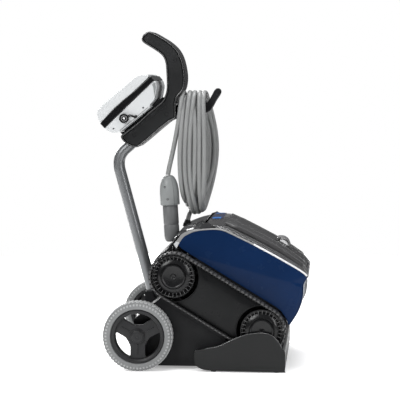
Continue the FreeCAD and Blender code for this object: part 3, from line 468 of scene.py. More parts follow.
def build_stage():
    camera_data = bpy.data.cameras.new("camera")
    camera_data.lens = 140.6
    camera_data.sensor_width = 36
    camera = bpy.data.objects.new("camera", camera_data)
    camera.location = (0.35414, -4.37899, 0.79880)
    camera.rotation_euler = (math.radians(90 - 4.58), 0, math.radians(4.85))
    bpy.context.scene.collection.objects.link(camera)
    bpy.context.scene.camera = camera

    def lamp(name, place, target, size, power):
        data = bpy.data.lights.new(name, "AREA")
        data.shape = "RECTANGLE"
        data.size, data.size_y = size
        data.energy = power
        light = bpy.data.objects.new(name, data)
        light.location = place
        light.rotation_euler = (Vector(target) - Vector(place)).to_track_quat("-Z", "Y").to_euler()
        bpy.context.scene.collection.objects.link(light)

    lamp("key", (-1.8, -2.6, 2.4), (0, 0, 0.4), (1.6, 1.8), 92)
    lamp("strip", (1.9, -2.2, 1.3), (0, 0, 0.4), (0.4, 1.8), 26)
    lamp("top", (0.2, 0.3, 3.2), (0, 0, 0.3), (2.4, 2.2), 130)
    lamp("back", (-1.6, 2.8, 1.8), (0, 0, 0.45), (1.4, 1.8), 110)
    world = bpy.data.worlds.new("studio")
    world.use_nodes = True
    nodes, links = world.node_tree.nodes, world.node_tree.links
    direction = nodes.new("ShaderNodeTexCoord")
    parts = nodes.new("ShaderNodeSeparateXYZ")
    room = nodes.new("ShaderNodeValToRGB")
    room.color_ramp.elements[0].position = 0.0
    room.color_ramp.elements[0].color = (0.10, 0.10, 0.102, 1)
    room.color_ramp.elements[1].position = 0.6
    room.color_ramp.elements[1].color = (0.3, 0.3, 0.305, 1)
    rays = nodes.new("ShaderNodeLightPath")
    backdrop = nodes.new("ShaderNodeMixRGB")
    backdrop.inputs["Color2"].default_value = (1, 1, 1, 1)
    links.new(direction.outputs["Generated"], parts.inputs["Vector"])
    links.new(parts.outputs["Z"], room.inputs["Fac"])
    links.new(rays.outputs["Is Camera Ray"], backdrop.inputs["Fac"])
    links.new(room.outputs["Color"], backdrop.inputs["Color1"])
    links.new(backdrop.outputs["Color"], nodes["Background"].inputs["Color"])
    bpy.context.scene.world = world
    bpy.context.scene.view_settings.view_transform = "Standard"
    bm = bmesh.new()
    turns = [2 * math.pi * k / 64 for k in range(64)]
    bm.faces.new([bm.verts.new((2.6 * math.cos(a), 2.6 * math.sin(a), 0)) for a in turns])
    floor = made("floor", bm)
    paper = finish("floor_paper", (0.93, 0.93, 0.93), 0.8, bump=0.03, vary=0.01, specular=0.1)
    paper.node_tree.nodes["Principled BSDF"].inputs["Emission Color"].default_value = (1, 1, 1, 1)
    paper.node_tree.nodes["Principled BSDF"].inputs["Emission Strength"].default_value = 0.34
    floor.data.materials.append(paper)


# ---------------------------------------------------------------- cable and swivel

# Half of a turn from its top to its bottom: half depth and height of the outer, middle and inner layer, and
# X of the leftmost turn, of the rightmost turn on the near side, and of the rightmost turn on the far side.
TURN = [
    (0, 750.0, 0, 737.3, 0, 724.5, 108, 163, 163),
    (24, 748.5, 16, 736.0, 13, 724.0, 108, 163, 164),
    (42, 739.5, 31, 729.0, 25, 719.0, 107.5, 163, 166),
    (50.5, 722.0, 38.5, 714.0, 29.5, 704.0, 107, 163, 170),
    (54, 692.0, 41.5, 690.0, 30, 688.0, 105, 164, 179),
    (58.5, 640.0, 45.5, 640.0, 32.5, 640.0, 101, 166, 190),
    (60.5, 588.0, 47.5, 588.0, 34.5, 588.0, 97.5, 167, 194),
    (60, 530.0, 47.0, 530.0, 34.0, 530.0, 98.0, 166, 188),
    (57, 480.0, 43.5, 486.0, 32.0, 492.0, 102, 164, 177),
    (50, 448.0, 38.0, 460.0, 28.5, 468.0, 106.5, 162, 168),
    (36, 425.0, 27.5, 440.0, 21.5, 450.0, 110, 160, 162),
    (19, 413.5, 14.0, 428.5, 11.5, 441.5, 112, 158.5, 159),
    (0, 411.0, 0, 425.0, 0, 439.0, 112.5, 158, 158),
]
# How far a turn has left its place on the hook, at each row of TURN.
SPREAD = [0, 0, 0.15, 0.4, 0.75, 1, 1, 1, 0.8, 0.5, 0.25, 0.1, 0]
# Each turn's layer and share across the coil: on the hook, half way down the near side, and half way down
# the far side.
TURNS = [(0, 0.25, 0, 0.21, 0, 0.24), (0, 0.5, 0, 0.41, 0, 0.5), (0, 0.75, 0, 0.81, 0, 0.77),
         (0, 1.0, 0, 1.0, 0, 1.0), (1, 0.97, 1, 0.9, 0.4, 0.885), (1, 0.73, 1, 0.7, 1.4, 0.8),
         (1, 0.5, 0.05, 0.61, 1, 0.66), (1, 0.27, 1, 0.31, 0.7, 0.38), (1, 0.04, 0, 0.02, 0.5, 0.1),
         (2, 0.04, 1.1, 0.1, 2, 0.05), (2, 0.27, 2, 0.3, 2, 0.3), (2, 0.5, 1.1, 0.5, 2, 0.55),
         (2, 0.73, 2, 0.75, 1.2, 0.93), (2, 0.95, 2, 0.95, 2, 0.72)]


def turn_point(layer, share, index, side, wobble):
    """A point of a turn: its layer from the outside, its share across the coil, its place down the turn."""
    low = min(int(layer), 1)
    part = layer - low
    row = TURN[index]
    depth = row[2 * low] * (1 - part) + row[2 * low + 2] * part
    height = row[2 * low + 1] * (1 - part) + row[2 * low + 3] * part
    right = row[8] if side > 0 else row[7]
    down = index / (len(TURN) - 1)
    lift = 12 * abs(2 * share - 1) ** 1.6 * down ** 6
    swell = math.sin(math.pi * min(1, down * 1.15))
    return caddy(row[6] + (right - row[6]) * share + wobble[0] * swell, side * depth + wobble[1] * swell,
                 height + lift + wobble[2] * down ** 4)


def coil_route():
    """The whole cable: boot, fourteen turns in three layers, a last one through their middle, swivel."""
    route = [caddy(115.5, 0, 390.5), caddy(117.2, 1, 399), caddy(119.6, 7, 408), caddy(120.5, 22, 415),
             caddy(119.5, 38, 427), caddy(118, 49, 448)]
    last = len(TURN) - 1
    for number, (layer, share, near_layer, near_share, far_layer, far_share) in enumerate(TURNS):
        wobble = (random.uniform(-1.2, 1.2), random.uniform(-1.2, 1.2), random.uniform(-2, 5))
        following = TURNS[number + 1] if number + 1 < len(TURNS) else TURNS[number]
        for index in range(last if number else 8, 0, -1):
            w = SPREAD[index]
            route.append(turn_point(layer + (far_layer - layer) * w, share + (far_share - share) * w, index,
                                    1, wobble))
        for index in range(last):
            w = SPREAD[index]
            along = share + (following[1] - share) * index / last
            sunk = layer + (following[0] - layer) * max(0, (index - 8) / 4)
            route.append(turn_point(sunk + (near_layer - sunk) * w, along + (near_share - along) * w, index,
                                    -1, wobble))
            if number == len(TURNS) - 1 and index == 5:
                break
    tunnel = [(164, -24, 600), (158, -17, 560), (146, -7, 528), (130, 1, 508), (112, 8, 502), (99, 18, 512),
              (92, 32, 536), (90.5, 48, 570), (93, 56, 612), (97, 57, 650), (101, 54, 692), (103, 50, 722),
              (104, 41, 739), (104.5, 23, 747.5), (104.5, 0, 749)]
    down = [(104, -24, 747.5), (102.8, -41, 738.5), (101, -50, 720), (97.5, -53, 692), (92.5, -52, 660),
            (86.5, -49, 628), (80, -46, 597), (73, -44.5, 566), (68, -45, 545), (65, -45, 530),
            (63.6, -45, 520.5)]
    route += [caddy(*p) for p in tunnel + down]
    return route


def build_cable():
    route = coil_route()
    line = spline("cable_line", route, 0.0, resolution=5)
    bpy.context.scene.collection.objects.link(line)
    bpy.context.view_layer.update()
    wire = bpy.data.meshes.new_from_object(line)
    path = [v.co.copy() for v in wire.vertices]
    bpy.data.objects.remove(line)
    length = sum((b - a).length for a, b in zip(path, path[1:]))
    print("cable length", round(length, 3))
    cable = tube("cable", route, 6.5, resolution=5)
    cable.data.materials.clear()
    cable.data.materials.append(M["cable"])
    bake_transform(cable)
    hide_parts("cable_coil", "swivel_cable", "inlet_cable")
    return cable, path


def swivel_seams(point):
    """The raised lines where the two halves of the housing meet."""
    line = [(26.7, 1), (26.7, 33), (26.1, 44), (24.7, 54), (22.3, 63), (19.1, 71), (15.6, 76.6)]
    ridge = ((-0.45, 0.0), (-0.3, 0.55), (0.3, 0.55), (0.45, 0.0))
    bm = bmesh.new()
    for k in range(2):
        angle = math.radians(-58 + 180 * k)
        add_grid(bm, [[point(r + out, h, angle + turn / 27) for turn, out in ridge] for r, h in line])
    piece(made("swivel_seam", bm), "dark_trim", "caddy")


def swivel_screws(point):
    profile = [(2.9, -1.2), (2.9, 0.5), (2.3, 0.7), (2.0, 0.2), (1.6, -0.4), (0, -0.4)]
    for name, reach, height, turn in (("upper", 25.6, 51, -112), ("lower", 27.1, 17, -97)):
        angle = math.radians(turn)
        centre = point(reach, height, angle)
        out = (point(28, height, angle) - point(20, height, angle)).normalized()
        rotation = out.to_track_quat("Z", "Y").to_matrix()

        def screw(r, h, around, centre=centre, rotation=rotation):
            return centre + rotation @ (Vector((r * math.cos(around), r * math.sin(around), h)) * MM)

        piece(lathe(f"swivel_screw_{name}", profile, screw, 20), "dark_trim", "caddy")


def build_swivel():
    point = about_out(swivel, 0, 0)
    shell = [(21, -0.3), (26.3, -0.3), (27, 0.6), (27, 33), (26.4, 44), (25, 54), (22.6, 63), (19.4, 71),
             (15.8, 77), (12.4, 80.6), (10.2, 81.6), (9.2, 81.4), (8.9, 80), (8.9, 70), (0, 70)]
    housing = lathe("swivel_housing_shell", shell, point, 64, angle=50)
    swivel_seams(point)
    swivel_screws(point)
    tube_line = [(0, -0.6), (20.6, -0.6), (21.3, -1.4), (21.4, -53), (20.9, -54.2), (20.2, -55),
                 (20.2, -56.2), (20.9, -57), (21.4, -58.2), (21.3, -88), (20.4, -95), (18.2, -100.4),
                 (15.2, -102.8), (13.6, -102.8), (13.1, -102), (13.1, -86), (0, -86)]
    lower = lathe("swivel_barrel_shell", tube_line, point, 64, angle=50)
    piece(housing, "swivel_plastic", "caddy", "swivel_housing")
    # The barrel takes the darker copy of the housing grey: painted shade.
    piece(lower, "barrel_painted_shade", "swivel", "swivel_barrel")
    return housing, lower


# ---------------------------------------------------------------- caddy

HANDLE = [(-24, 597), (-8, 606), (14, 624), (42, 648), (70, 670), (85, 678), (86, 706), (89, 735),
          (106, 756), (112, 785), (109.5, 815), (102, 845), (90, 868), (70, 888), (45, 904), (20, 917.4),
          (8, 917.4), (-3, 911), (-8.5, 901), (-5, 889), (20, 873), (41, 859), (52, 847), (58, 830),
          (60, 804), (61, 780), (60, 755), (54, 737), (45, 724), (11, 696), (-24, 664), (-63, 634),
          (-68, 626), (-63, 616), (-49, 604)]
CUP = [(155, 25), (161, 15), (177, 7), (210, 3.6), (300, 2.6), (390, 2.6), (397.6, 5.5), (399, 30),
       (398, 58), (390, 66), (385, 76), (372, 94), (356, 104), (333, 108), (294, 103), (259, 90), (223, 72),
       (190, 64), (157, 57), (154, 42)]
CUP_LIP = [(157, 57), (190, 64), (223, 72), (259, 90), (294, 103), (333, 108), (356, 104), (372, 94),
           (385, 76), (391, 62)]
HOOK = [(86.3, 680), (96, 681), (110, 693), (150, 694), (166, 693.5), (177, 697.5), (185, 707.5),
        (195, 726), (207.5, 746), (207.5, 757), (200, 761.5), (192.5, 757), (183, 740), (174, 725),
        (165, 716.5), (150, 716), (100, 716), (86.3, 715.5)]


def build_mast():
    route = rounded([(35, 0, 112), (-87.2, 0, 566.5), (-34, 0, 614.4)], 40, 12, closed=False)
    mast = tube("mast_bar", [caddy(*p) for p in route], 16, "POLY")
    piece(mast, "grey_tube", "caddy", "mast_tube")


def handle_trim(outline):
    """The screws, a thin rim round each side in a lighter grey that paints the highlight along the handle's
    edges, and the mould seams at the top of the grip.
    """
    profile = [(6.2, 47), (6.2, 48.0), (5.2, 48.5), (4.4, 48.2), (4.2, 46.6), (0, 46.4)]
    heads = [lathe("screw", profile, about_y(caddy, x, z, side), 28)
             for _, side in SIDES for x, z in ((60, 690), (-30, 632), (84, 840))]
    piece(joined("handle_screw_heads", *heads), "black_plastic", "caddy", "handle_screws", slot="steel")
    # The rims are lighter than the handle: a painted highlight along its edges.
    line = shrunk(outline, 2.4)
    rims = [tube("rim", [caddy(x, side * 49.3, z) for x, z in line + line[:2]], 0.8, "POLY")
            for _, side in SIDES]
    piece(joined("handle_highlight_rims", *rims), "lip_painted_highlight", "caddy")
    seam = [(2.5, 884.5), (3.6, 884), (13.4, 918.2), (12.3, 918.4)]
    seams = [slab("seam", seam, caddy, side * 47.2, side * 48.1, 0.2, 1) for _, side in SIDES]
    piece(joined("handle_seams", *seams), "dark_trim", "caddy")


def build_handle():
    outline = flowing(HANDLE, 3)
    bow = slab("handle_bow", outline, caddy, -50, 50, 1.5, 3, recess=(5.5, 4.2), angle=40)
    piece(bow, "handle_plastic", "caddy", "handle_frame")
    inner = shrunk(outline, 6.6)
    for name, side in SIDES:
        cover = slab(f"handle_inlay_{name}", inner, caddy, side * 44, side * 47.8, 1.8, 3, angle=40)
        piece(cover, "handle_inlay", "caddy", f"{name}_handle_cover")
    handle_trim(outline)


def build_hook():
    hook = slab("hook_bar", flowing(HOOK, 4), caddy, -21.6, 21.6, 5.5, 5, angle=50)
    piece(hook, "black_plastic", "caddy", "cable_hook")
    profile = [(0, 0), (3.2, 0), (3.8, 1), (3.8, 5), (3.0, 6.4), (0, 6.6)]
    lugs = []
    for y in (-32, 32):
        for x, z in ((83.5, 718), (88, 704)):
            lugs.append(lathe("lug", profile, lambda r, h, a, x=x, y=y, z=z:
                              caddy(x + h, y + r * math.cos(a), z + r * math.sin(a)), 20))
    piece(joined("hook_lugs", *lugs), "steel", "caddy")


def build_base():
    piece(skin("base_body", "base_shell", 2.6, 3), "black_plastic", "caddy", "base_shell")
    piece(skin("mast_clamp", "mast_socket", 3, 3), "black_plastic", "caddy", "mast_socket")
    outline = rounded([(30, 24), (228, 22), (228, 84), (62, 182), (30, 156), (0, 128),
                       (-6, 98), (2, 50)], 12, 5)
    panels = [slab("panel", outline, caddy, side * 189.5, side * 190.6, 0.6, 1) for _, side in SIDES]
    piece(joined("base_side_plates", *panels), "black_plastic", "caddy")
    profile = [(-10.5, 134), (-15.5, 132), (-22, 95), (-18, 60), (-5, 26), (0, 26), (-6, 96)]
    ribs = [slab("rib", profile, caddy, y - 3, y + 3, 1.2, 2) for y in (-150, -112, -75, 75, 112, 150)]
    piece(joined("base_back_ribs", *ribs), "black_plastic", "caddy")
    rod = [(0, -237), (5.2, -237), (6, -236), (6, 236), (5.2, 237), (0, 237)]
    piece(lathe("axle_bar", rod, about_y(caddy, 0, WHEEL_R), 32), "steel", "caddy", "wheel_axle")


def build_cradle():
    outline = flowing(CUP, 4)
    step = [(157, 26), (164, 19), (178, 11), (236.2, 8), (236.2, 78), (224, 70), (190, 62),
            (159, 55)]
    parts = []
    for _, side in SIDES:
        parts.append(slab("wall", outline, caddy, side * 222.2, side * 232, 4.6, 5, angle=40))
        parts.append(slab("step", step, caddy, side * 190.4, side * 223, 2, 2))
    # The floor of the cup has a round hollow in it for the cleaner's tracks.
    hollow = [(334.5 + 70.3 * math.cos(math.radians(a)), 110.6 + 70.3 * math.sin(math.radians(a)))
              for a in (-42, -50, -60, -70, -80, -90, -100, -110, -121)]
    bed = [(236.4, 6), (300, 4), (392, 3.6), (398.4, 8), (398.4, 57), (391, 65), *hollow, (262, 69),
           (240, 82), (236.4, 82)]
    parts.append(slab("bed", bed, caddy, -223, 223, 2, 3))
    rib = [(396, 14), (399, 16), (399, 56), (394, 61.5), (392, 60)]
    for y in (-160, -96, -32, 32, 96, 160):
        parts.append(slab("rib", rib, caddy, y - 4, y + 4, 1, 2))
    piece(joined("cradle_cup", *parts), "cup_plastic", "caddy", "front_cradle")
    # A thin lip along each wall's top edge, lighter than the cup: a painted highlight on the rim.
    line = flowing(CUP_LIP, 4, closed=False)
    lips = [tube("lip", [caddy(x, side * 230.2, z - 0.6) for x, z in line], 1.5, "POLY")
            for _, side in SIDES]
    piece(joined("cradle_highlight_lips", *lips), "lip_painted_highlight", "caddy")
    foot = [(0, 0), (7, 0), (8, 1), (8, 7), (0, 7)]
    feet = [lathe("foot", foot, about_out(caddy, x, side * 218), 28) for _, side in SIDES
            for x in (205, 375)]
    piece(joined("cradle_pads", *feet), "black_rubber", "caddy", "cradle_feet")


SPOKE = [(17, 60), (30, 60), (31, 50), (32, 43), (33.5, 38.5), (36, 34), (41, 29.3), (48, 24.6), (55, 21.5),
         (63, 22)]


def build_tyre(name, point):
    body = f"{name}_wheel"
    section = [(73.2, -16), (75, -19.5), (79, -21), (84, -21.6), (89, -20), (92, -16), (93, -11), (93.3, 0),
               (93, 11), (92, 16), (89, 20), (84, 21.6), (79, 21), (75, 19.5), (73.2, 16), (72.6, 0),
               (73.2, -16)]
    bm = bmesh.new()
    add_lathe(bm, section, point, 112)
    piece(made(f"{name}_tyre_rubber", bm, angle=40), "grey_tyre", body, f"{name}_tyre")

    def nub(*corners):
        return [point(reach, across, turn) for reach, across, turn in corners]

    bm = bmesh.new()
    # Four rows of blocks round the tread, then one row of small ribs round each side; all are lighter than
    # the tyre, a painted highlight.
    for across, reach, lean in ((-13.5, 92.7, 0.5), (-4.6, 93.2, 0.0), (4.6, 93.2, 0.5), (13.5, 92.7, 0.0)):
        for k in range(52):
            middle = 2 * math.pi * (k + lean) / 52
            ring = ((-1, -1), (1, -1), (1, 1), (-1, 1))
            foot = [(reach - 0.8, across + out * 3.7, middle + turn * 0.046) for turn, out in ring]
            top = [(min(94.9, reach + 1.9), across + out * 2.9, middle + turn * 0.036)
                   for turn, out in ring]
            add_block(bm, nub(*foot), nub(*top))
    for face in (-1, 1):
        for k in range(60):
            middle = 2 * math.pi * k / 60
            ring = ((-1, 83.5, 20.2, 22.0), (1, 83.5, 20.2, 22.0), (1, 88.6, 19, 21.6),
                    (-1, 88.6, 19, 21.6))
            foot = [(reach, face * low, middle + turn * 0.034) for turn, reach, low, _ in ring]
            top = [(reach, face * high, middle + turn * 0.024) for turn, reach, _, high in ring]
            add_block(bm, nub(*foot), nub(*top))
    piece(made(f"{name}_tyre_nubs_painted_highlight", bm, angle=40), "tyre_nubs_painted_highlight", body)


def build_hub(name, point):
    rim = [(72.8, -17), (72.8, 17), (71.5, 18.6), (69, 19), (66.5, 18.2), (62.5, 15.5), (61.5, 12),
           (61.5, -12), (62.5, -15.5), (66.5, -18.2), (69, -19), (71.5, -18.6), (72.8, -17)]
    boss = [(6.2, -15), (17, -15), (19, -13), (20, -6), (20, 6), (19, 13), (17, 14), (6.2, 14), (6.2, -15)]
    parts = [lathe("rim", rim, point, 96), lathe("boss", boss, point, 48)]
    bm = bmesh.new()
    for k in range(3):
        start = math.radians(-90 + 120 * k)
        rows = []
        for reach in range(17, 64):
            half = math.radians(height_at(SPOKE, reach))
            fin = 1.1 / reach
            top = 8.4 + (2.6 if 23 < reach < 50 else 0)
            ring = ((-half, -7), (-half, 6.4), (-half * 0.86, 8.2), (-fin * 1.5, 8.4), (-fin, top),
                    (fin, top), (fin * 1.5, 8.4), (half * 0.86, 8.2), (half, 6.4), (half, -7))
            rows.append([point(reach, h, start + turn) for turn, h in ring])
        add_bar(bm, rows)
    parts.append(made("spokes", bm, 0.8, 2))
    piece(joined(f"{name}_hub_spokes", *parts), "wheel_plastic", f"{name}_wheel", f"{name}_wheel_hub")


def build_wheels():
    cap = [(0, 19.2), (3, 19.2), (4, 18.8), (5, 19.3), (9.5, 20), (11, 19.6), (12, 20.2), (14.5, 19.8),
           (16.2, 18.6), (16.8, 16.5), (16.8, 13.5), (6.2, 13.5)]
    for name, side in SIDES:
        def point(r, h, angle, side=side):
            return caddy(r * math.cos(angle), side * (WHEEL_Y + h), WHEEL_R + r * math.sin(angle))

        build_tyre(name, point)
        build_hub(name, point)
        piece(lathe(f"{name}_cap_dome", cap, point, 48), "wheel_plastic", f"{name}_wheel",
              f"{name}_hub_cap")


# ---------------------------------------------------------------- cleaner

GAP = 279.9  # between the axes of a track's two pulleys
BELT_R = 61.6  # inside of a belt
LOOP = 2 * GAP + 2 * math.pi * BELT_R


def on_track(distance, reach):
    """Along and out of the track for a distance round the belt and a distance from the pulleys' axes."""
    distance %= LOOP
    half = math.pi * BELT_R
    if distance < GAP:
        return distance, reach
    if distance < GAP + half:
        angle = (distance - GAP) / BELT_R
        return GAP + reach * math.sin(angle), reach * math.cos(angle)
    if distance < 2 * GAP + half:
        return 2 * GAP + half - distance, -reach
    angle = (distance - 2 * GAP - half) / BELT_R
    return -reach * math.sin(angle), -reach * math.cos(angle)


def build_belts():
    section = [(61.6, 179), (61.6, 219), (62.0, 219.9), (64.4, 219.9), (64.9, 219), (64.9, 179),
               (64.4, 178.1), (62.0, 178.1)]
    stations = 190
    for name, side in SIDES:
        def strip_point(distance, reach, y, side=side):
            along, out = on_track(distance, reach)
            return robot(along, side * y, out)

        rows = [[strip_point(LOOP * k / stations, reach, y) for reach, y in section]
                for k in range(stations)]
        core = sheet(f"{name}_belt_core", rows + rows[:1], angle=40, loop=True)
        piece(core, "belt_rubber", "cleaner")
        bm = bmesh.new()
        # Cleats outside the belt, then teeth inside it: how many, half width, foot, top, both edges, and how
        # much narrower the top is.
        for count, half, low, high, inner, outer, taper in ((76, 2.7, 62.6, 67.0, 178.4, 220.4, 0.72),
                                                            (114, 2.0, 61.9, 58.9, 179.5, 219.6, 0.75)):
            for k in range(count):
                rings = []
                for reach, width, trim in ((low, half, 0), (high, half * taper, 0.5)):
                    ring = ((-1, inner + trim), (1, inner + trim), (1, outer - trim), (-1, outer - trim))
                    rings.append([strip_point(LOOP * k / count + turn * width, reach, y)
                                  for turn, y in ring])
                add_block(bm, *rings)
        piece(made(f"{name}_belt_rubber", bm, angle=40), "black_rubber", "cleaner", f"{name}_track_belt")


def build_pulleys():
    profile = [(8.1, 180), (58.2, 180), (58.2, 212.2), (57.4, 213), (55.6, 213), (54.6, 212), (53.6, 204),
               (51, 203.6), (44, 207.8), (37, 211.2), (35.2, 211.4), (34.6, 208.6), (33.8, 208.6),
               (33.2, 213), (31.6, 215.2), (28.6, 216), (27.4, 215.2), (26.2, 214.9), (8.5, 214.4),
               (7.4, 215.6), (5.6, 215.8), (4.4, 214.9), (2.8, 214.5), (0, 214.4)]
    ribs = 30
    for name, side in SIDES:
        for end, along in (("rear", 0), ("front", GAP)):
            body = f"{name}_{end}_pulley"
            point = about_y(robot, along, 0, side)
            bm = bmesh.new()
            # Ribs round each pulley, lighter than the pulley: a painted highlight on their edges.
            for k in range(ribs):
                middle = 2 * math.pi * k / ribs
                rings = []
                for h, slim in ((203, 0.0), (212.9, 0.2)):
                    ring = ((45.5, slim - 0.6), (45.5, 0.6 - slim), (57, 0.8 - slim), (57, slim - 0.8))
                    rings.append([point(r, h, middle + turn / r) for r, turn in ring])
                add_block(bm, *rings)
            piece(made(f"{name}_{end}_sprocket_ribs", bm, angle=32), "rib_plastic_painted_highlight", body)
            bm = bmesh.new()
            add_lathe(bm, profile, point, 96)
            piece(made(f"{name}_{end}_sprocket", bm, angle=32), "pulley_plastic", body, body)


def cover_arc(centre, turn, side):
    """The raised edge of a cover round a pulley."""
    rows = []
    for k in range(41):
        angle = turn + math.radians(-56 + 112 * k / 40)
        section = ((68.9, 205), (68.9, 213.6), (69.4, 214), (70.4, 214), (70.9, 213.5), (70.9, 205))
        rows.append([robot(centre + r * math.cos(angle), side * y, r * math.sin(angle))
                     for r, y in section])
    return sheet("arc", rows, angle=40)


def build_covers():
    plate = [(-42, -28), (-24, -46), (304, -46), (322, -28), (322, 28), (304, 46), (216, 57), (64, 57),
             (-24, 46), (-42, 28)]
    for name, side in SIDES:
        rows = []
        for k in range(25):
            out = -58 + 116 * k / 24
            reach = math.sqrt(69.2 ** 2 - out ** 2)
            sunk = 9.5 * (max(0, 34 - out) / 92) ** 1.8 + 3.0 * (max(0, out - 34) / 24) ** 1.6
            rows.append([robot(reach + (GAP - 2 * reach) * i / 28, side * (213.4 - sunk), out)
                         for i in range(29)])
        cover = thick(sheet(f"{name}_cover_shell", rows, 0.9, 2, angle=50), 4)
        arcs = [cover_arc(centre, turn, side) for centre, turn in ((0, 0), (GAP, math.pi))]
        posts = [lathe("post", [(0, 175), (9, 175), (9, 206), (0, 206)], about_y(robot, along, 0, side), 24)
                 for along in (110, 170)]
        piece(joined(f"{name}_cover", cover, *arcs, *posts), "track_cover", "cleaner",
              f"{name}_track_cover")
        back = slab(f"{name}_track_back", rounded(plate, 8, 3), robot, side * 170.2,
                    side * 176, 1.5, 2)
        piece(back, "black_plastic", "cleaner")


PANEL_LOW = [(-33, 75), (-20, 71.4), (60, 71), (160, 71), (280, 71), (298, 68.6), (321, 58.2),
             (333.4, 46.6)]
PANEL_TOP = [(-32, 106), (-18, 127), (2, 145), (29, 163.5), (50, 172.5), (79, 176.6), (151, 183.6),
             (207, 186.6), (282, 188.4), (307.5, 184.8)]
PANEL_REAR = [(-33, 75), (-34, 84), (-33.8, 94), (-32, 106)]
PANEL_FRONT = [(333.4, 46.6), (335, 66), (334.8, 86), (331.5, 108), (325, 130), (316, 147), (309, 160),
               (307.8, 172), (307.5, 184.8)]
TRIM_REAR = [(-34.4, 74), (-35, 84), (-34.4, 95), (-31, 107.5), (-18, 127.5), (2, 145.4), (29, 164),
             (50, 173), (79, 177), (146, 183.6)]
TRIM_TOP = [(140, 183), (207, 187), (282, 188.8), (307, 186)]


def panel_bulge(along, out):
    """How far a side panel stands out: a long crease, a turned front edge and a front facet."""
    crease = 111 + 0.284 * (along - 146)
    stand = 176.4
    if out > crease:
        stand -= 0.046 * (out - crease)
        facet = (along - 278) - 0.68 * (out - 147)
        if facet > 0:
            stand -= 0.11 * facet
    else:
        stand -= 0.03 * (crease - out)
    edge = 335 - 0.155 * (out - 54) - 0.0008 * max(0, out - 54) ** 2
    if along > edge:
        stand -= 0.55 * (along - edge)
    return stand


def panel_rows(side):
    """A side panel's points, filled in between its four edges."""
    across, up = 110, 44
    low = resampled(PANEL_LOW, across)
    top = resampled(PANEL_TOP, across)
    rear = resampled(PANEL_REAR, up)
    front = resampled(flowing(PANEL_FRONT, 4, closed=False), up)
    rows = []
    for j in range(up):
        v = j / (up - 1)
        row = []
        for i in range(across):
            u = i / (across - 1)
            corners = (low[0] * (1 - u) * (1 - v) + low[-1] * u * (1 - v) + top[0] * (1 - u) * v
                       + top[-1] * u * v)
            p = low[i] * (1 - v) + top[i] * v + rear[j] * (1 - u) + front[j] * u - corners
            row.append(robot(p.x, side * panel_bulge(p.x, p.y), p.y))
        rows.append(row)
    return rows


def build_trims(name, side):
    """The thin strips along a side panel's rear and top edges."""
    for part, route, thickness, material in (("rear", TRIM_REAR, 2.8, "grey_trim"),
                                             ("top", TRIM_TOP, 3.4, "bright_trim")):
        line = flowing(route, 4, closed=False)
        rows = []
        for i, p in enumerate(line):
            along, out = neighbours(line, i)
            width = thickness + 6 * max(0.0, -8 - p[0]) / 27
            section = ((-1.0, 166), (-1.0, 174.2), (-0.2, 175.0), (width - 0.9, 174.4), (width, 173.2),
                       (width, 166))
            rows.append([robot(p[0] - out * n, side * y, p[1] + along * n) for n, y in section])
        piece(bar(f"{name}_{part}_trim", rows), material, "cleaner")


def build_panels():
    corner = [(-33, 64), (-46, 70), (-44.6, 80), (-34.6, 82)]
    for name, side in SIDES:
        panel = thick(sheet(f"{name}_panel_shell", panel_rows(side), 1.1, 3, angle=50), 5)
        piece(panel, "blue_panel", "cleaner", f"{name}_side_panel")
        build_trims(name, side)
        piece(slab(f"{name}_rear_corner", corner, robot, side * 166, side * 175.4, 0.8, 2), "white_shell",
              "cleaner")
    nose = flowing([(334.2, 47), (335.4, 66), (335.2, 86), (332, 108), (325.6, 130), (316.6, 147),
                    (309.6, 160), (308.3, 172), (307.8, 183)], 4, closed=False)
    edge = ((-169.4, 2.4), (-166, 0.9), (-160, 0.2), (-80, 0), (0, 0), (80, 0), (160, 0.2), (166, 0.9),
            (169.4, 2.4))
    rows = [[robot(along - drop, y, out) for y, drop in edge] for along, out in nose]
    front = thick(sheet("front_panel_shell", rows, 0.8, 2, angle=50), 4.5, 1)
    piece(front, "blue_panel", "cleaner", "front_panel")


def build_grille():
    parts = []
    line = flowing([(326, 128), (330.5, 113), (336, 112), (337.5, 118), (334, 136), (326, 152), (317, 158),
                    (310.5, 158)], 3, closed=False)
    outline = line + [(318, 138)]
    parts.append(slab("core", outline, robot, -58, 58, 2, 3))
    for k in range(15):
        y = -54 + 108 * k / 14
        shape = shrunk(outline, -0.7)
        parts.append(slab("slat", shape, robot, y - 1.3, y + 1.3, 0.5, 1))
    piece(joined("front_grille_slats", *parts), "grey_trim", "cleaner", "front_grille")


LID_HALF = 166.5


def crown(y):
    """The share of its full height that a crowned cover has at a distance from its middle."""
    return (1 - min(1.0, abs(y) / LID_HALF) ** 2.3) ** 0.6


def arch(along, low, top, half=LID_HALF, count=48):
    """A crowned cross-section from one side to the other."""
    row = []
    for k in range(count + 1):
        y = math.sin(math.pi * (k / count - 0.5))
        row.append(robot(along, half * y, low + (top - low) * crown(LID_HALF * y)))
    return row


LID_LOW = [(0.6, 171.6), (12, 169), (30, 169), (50, 175.4), (79, 179.4), (151, 186.4), (207, 189.4),
           (282, 191.4), (306, 188.4), (313.8, 187.2)]
LID_TOP = [(0.6, 172.8), (7, 177.4), (15, 183), (30, 193.4), (46, 200.7), (74, 204), (114, 207), (148, 210),
           (182, 212.5), (215, 212.6), (243, 211), (262, 209.6), (281, 206.6), (292, 202.8), (301, 197.4),
           (308, 191.8), (313, 187.8)]
LID_LINE = flowing(LID_TOP, 3, closed=False)
REAR_LOW = [(-53.5, 84), (-47, 96), (-38, 108), (-22, 129), (-6.5, 143.2)]
REAR_TOP = [(-53.5, 98), (-50, 111), (-42, 125.4), (-30, 141.2), (-16.5, 156.2), (-6.5, 165.2)]


def lid_height(along, y):
    low = height_at(LID_LOW, along)
    return low + (max(height_at(LID_LINE, along), low + 0.6) - low) * crown(y)


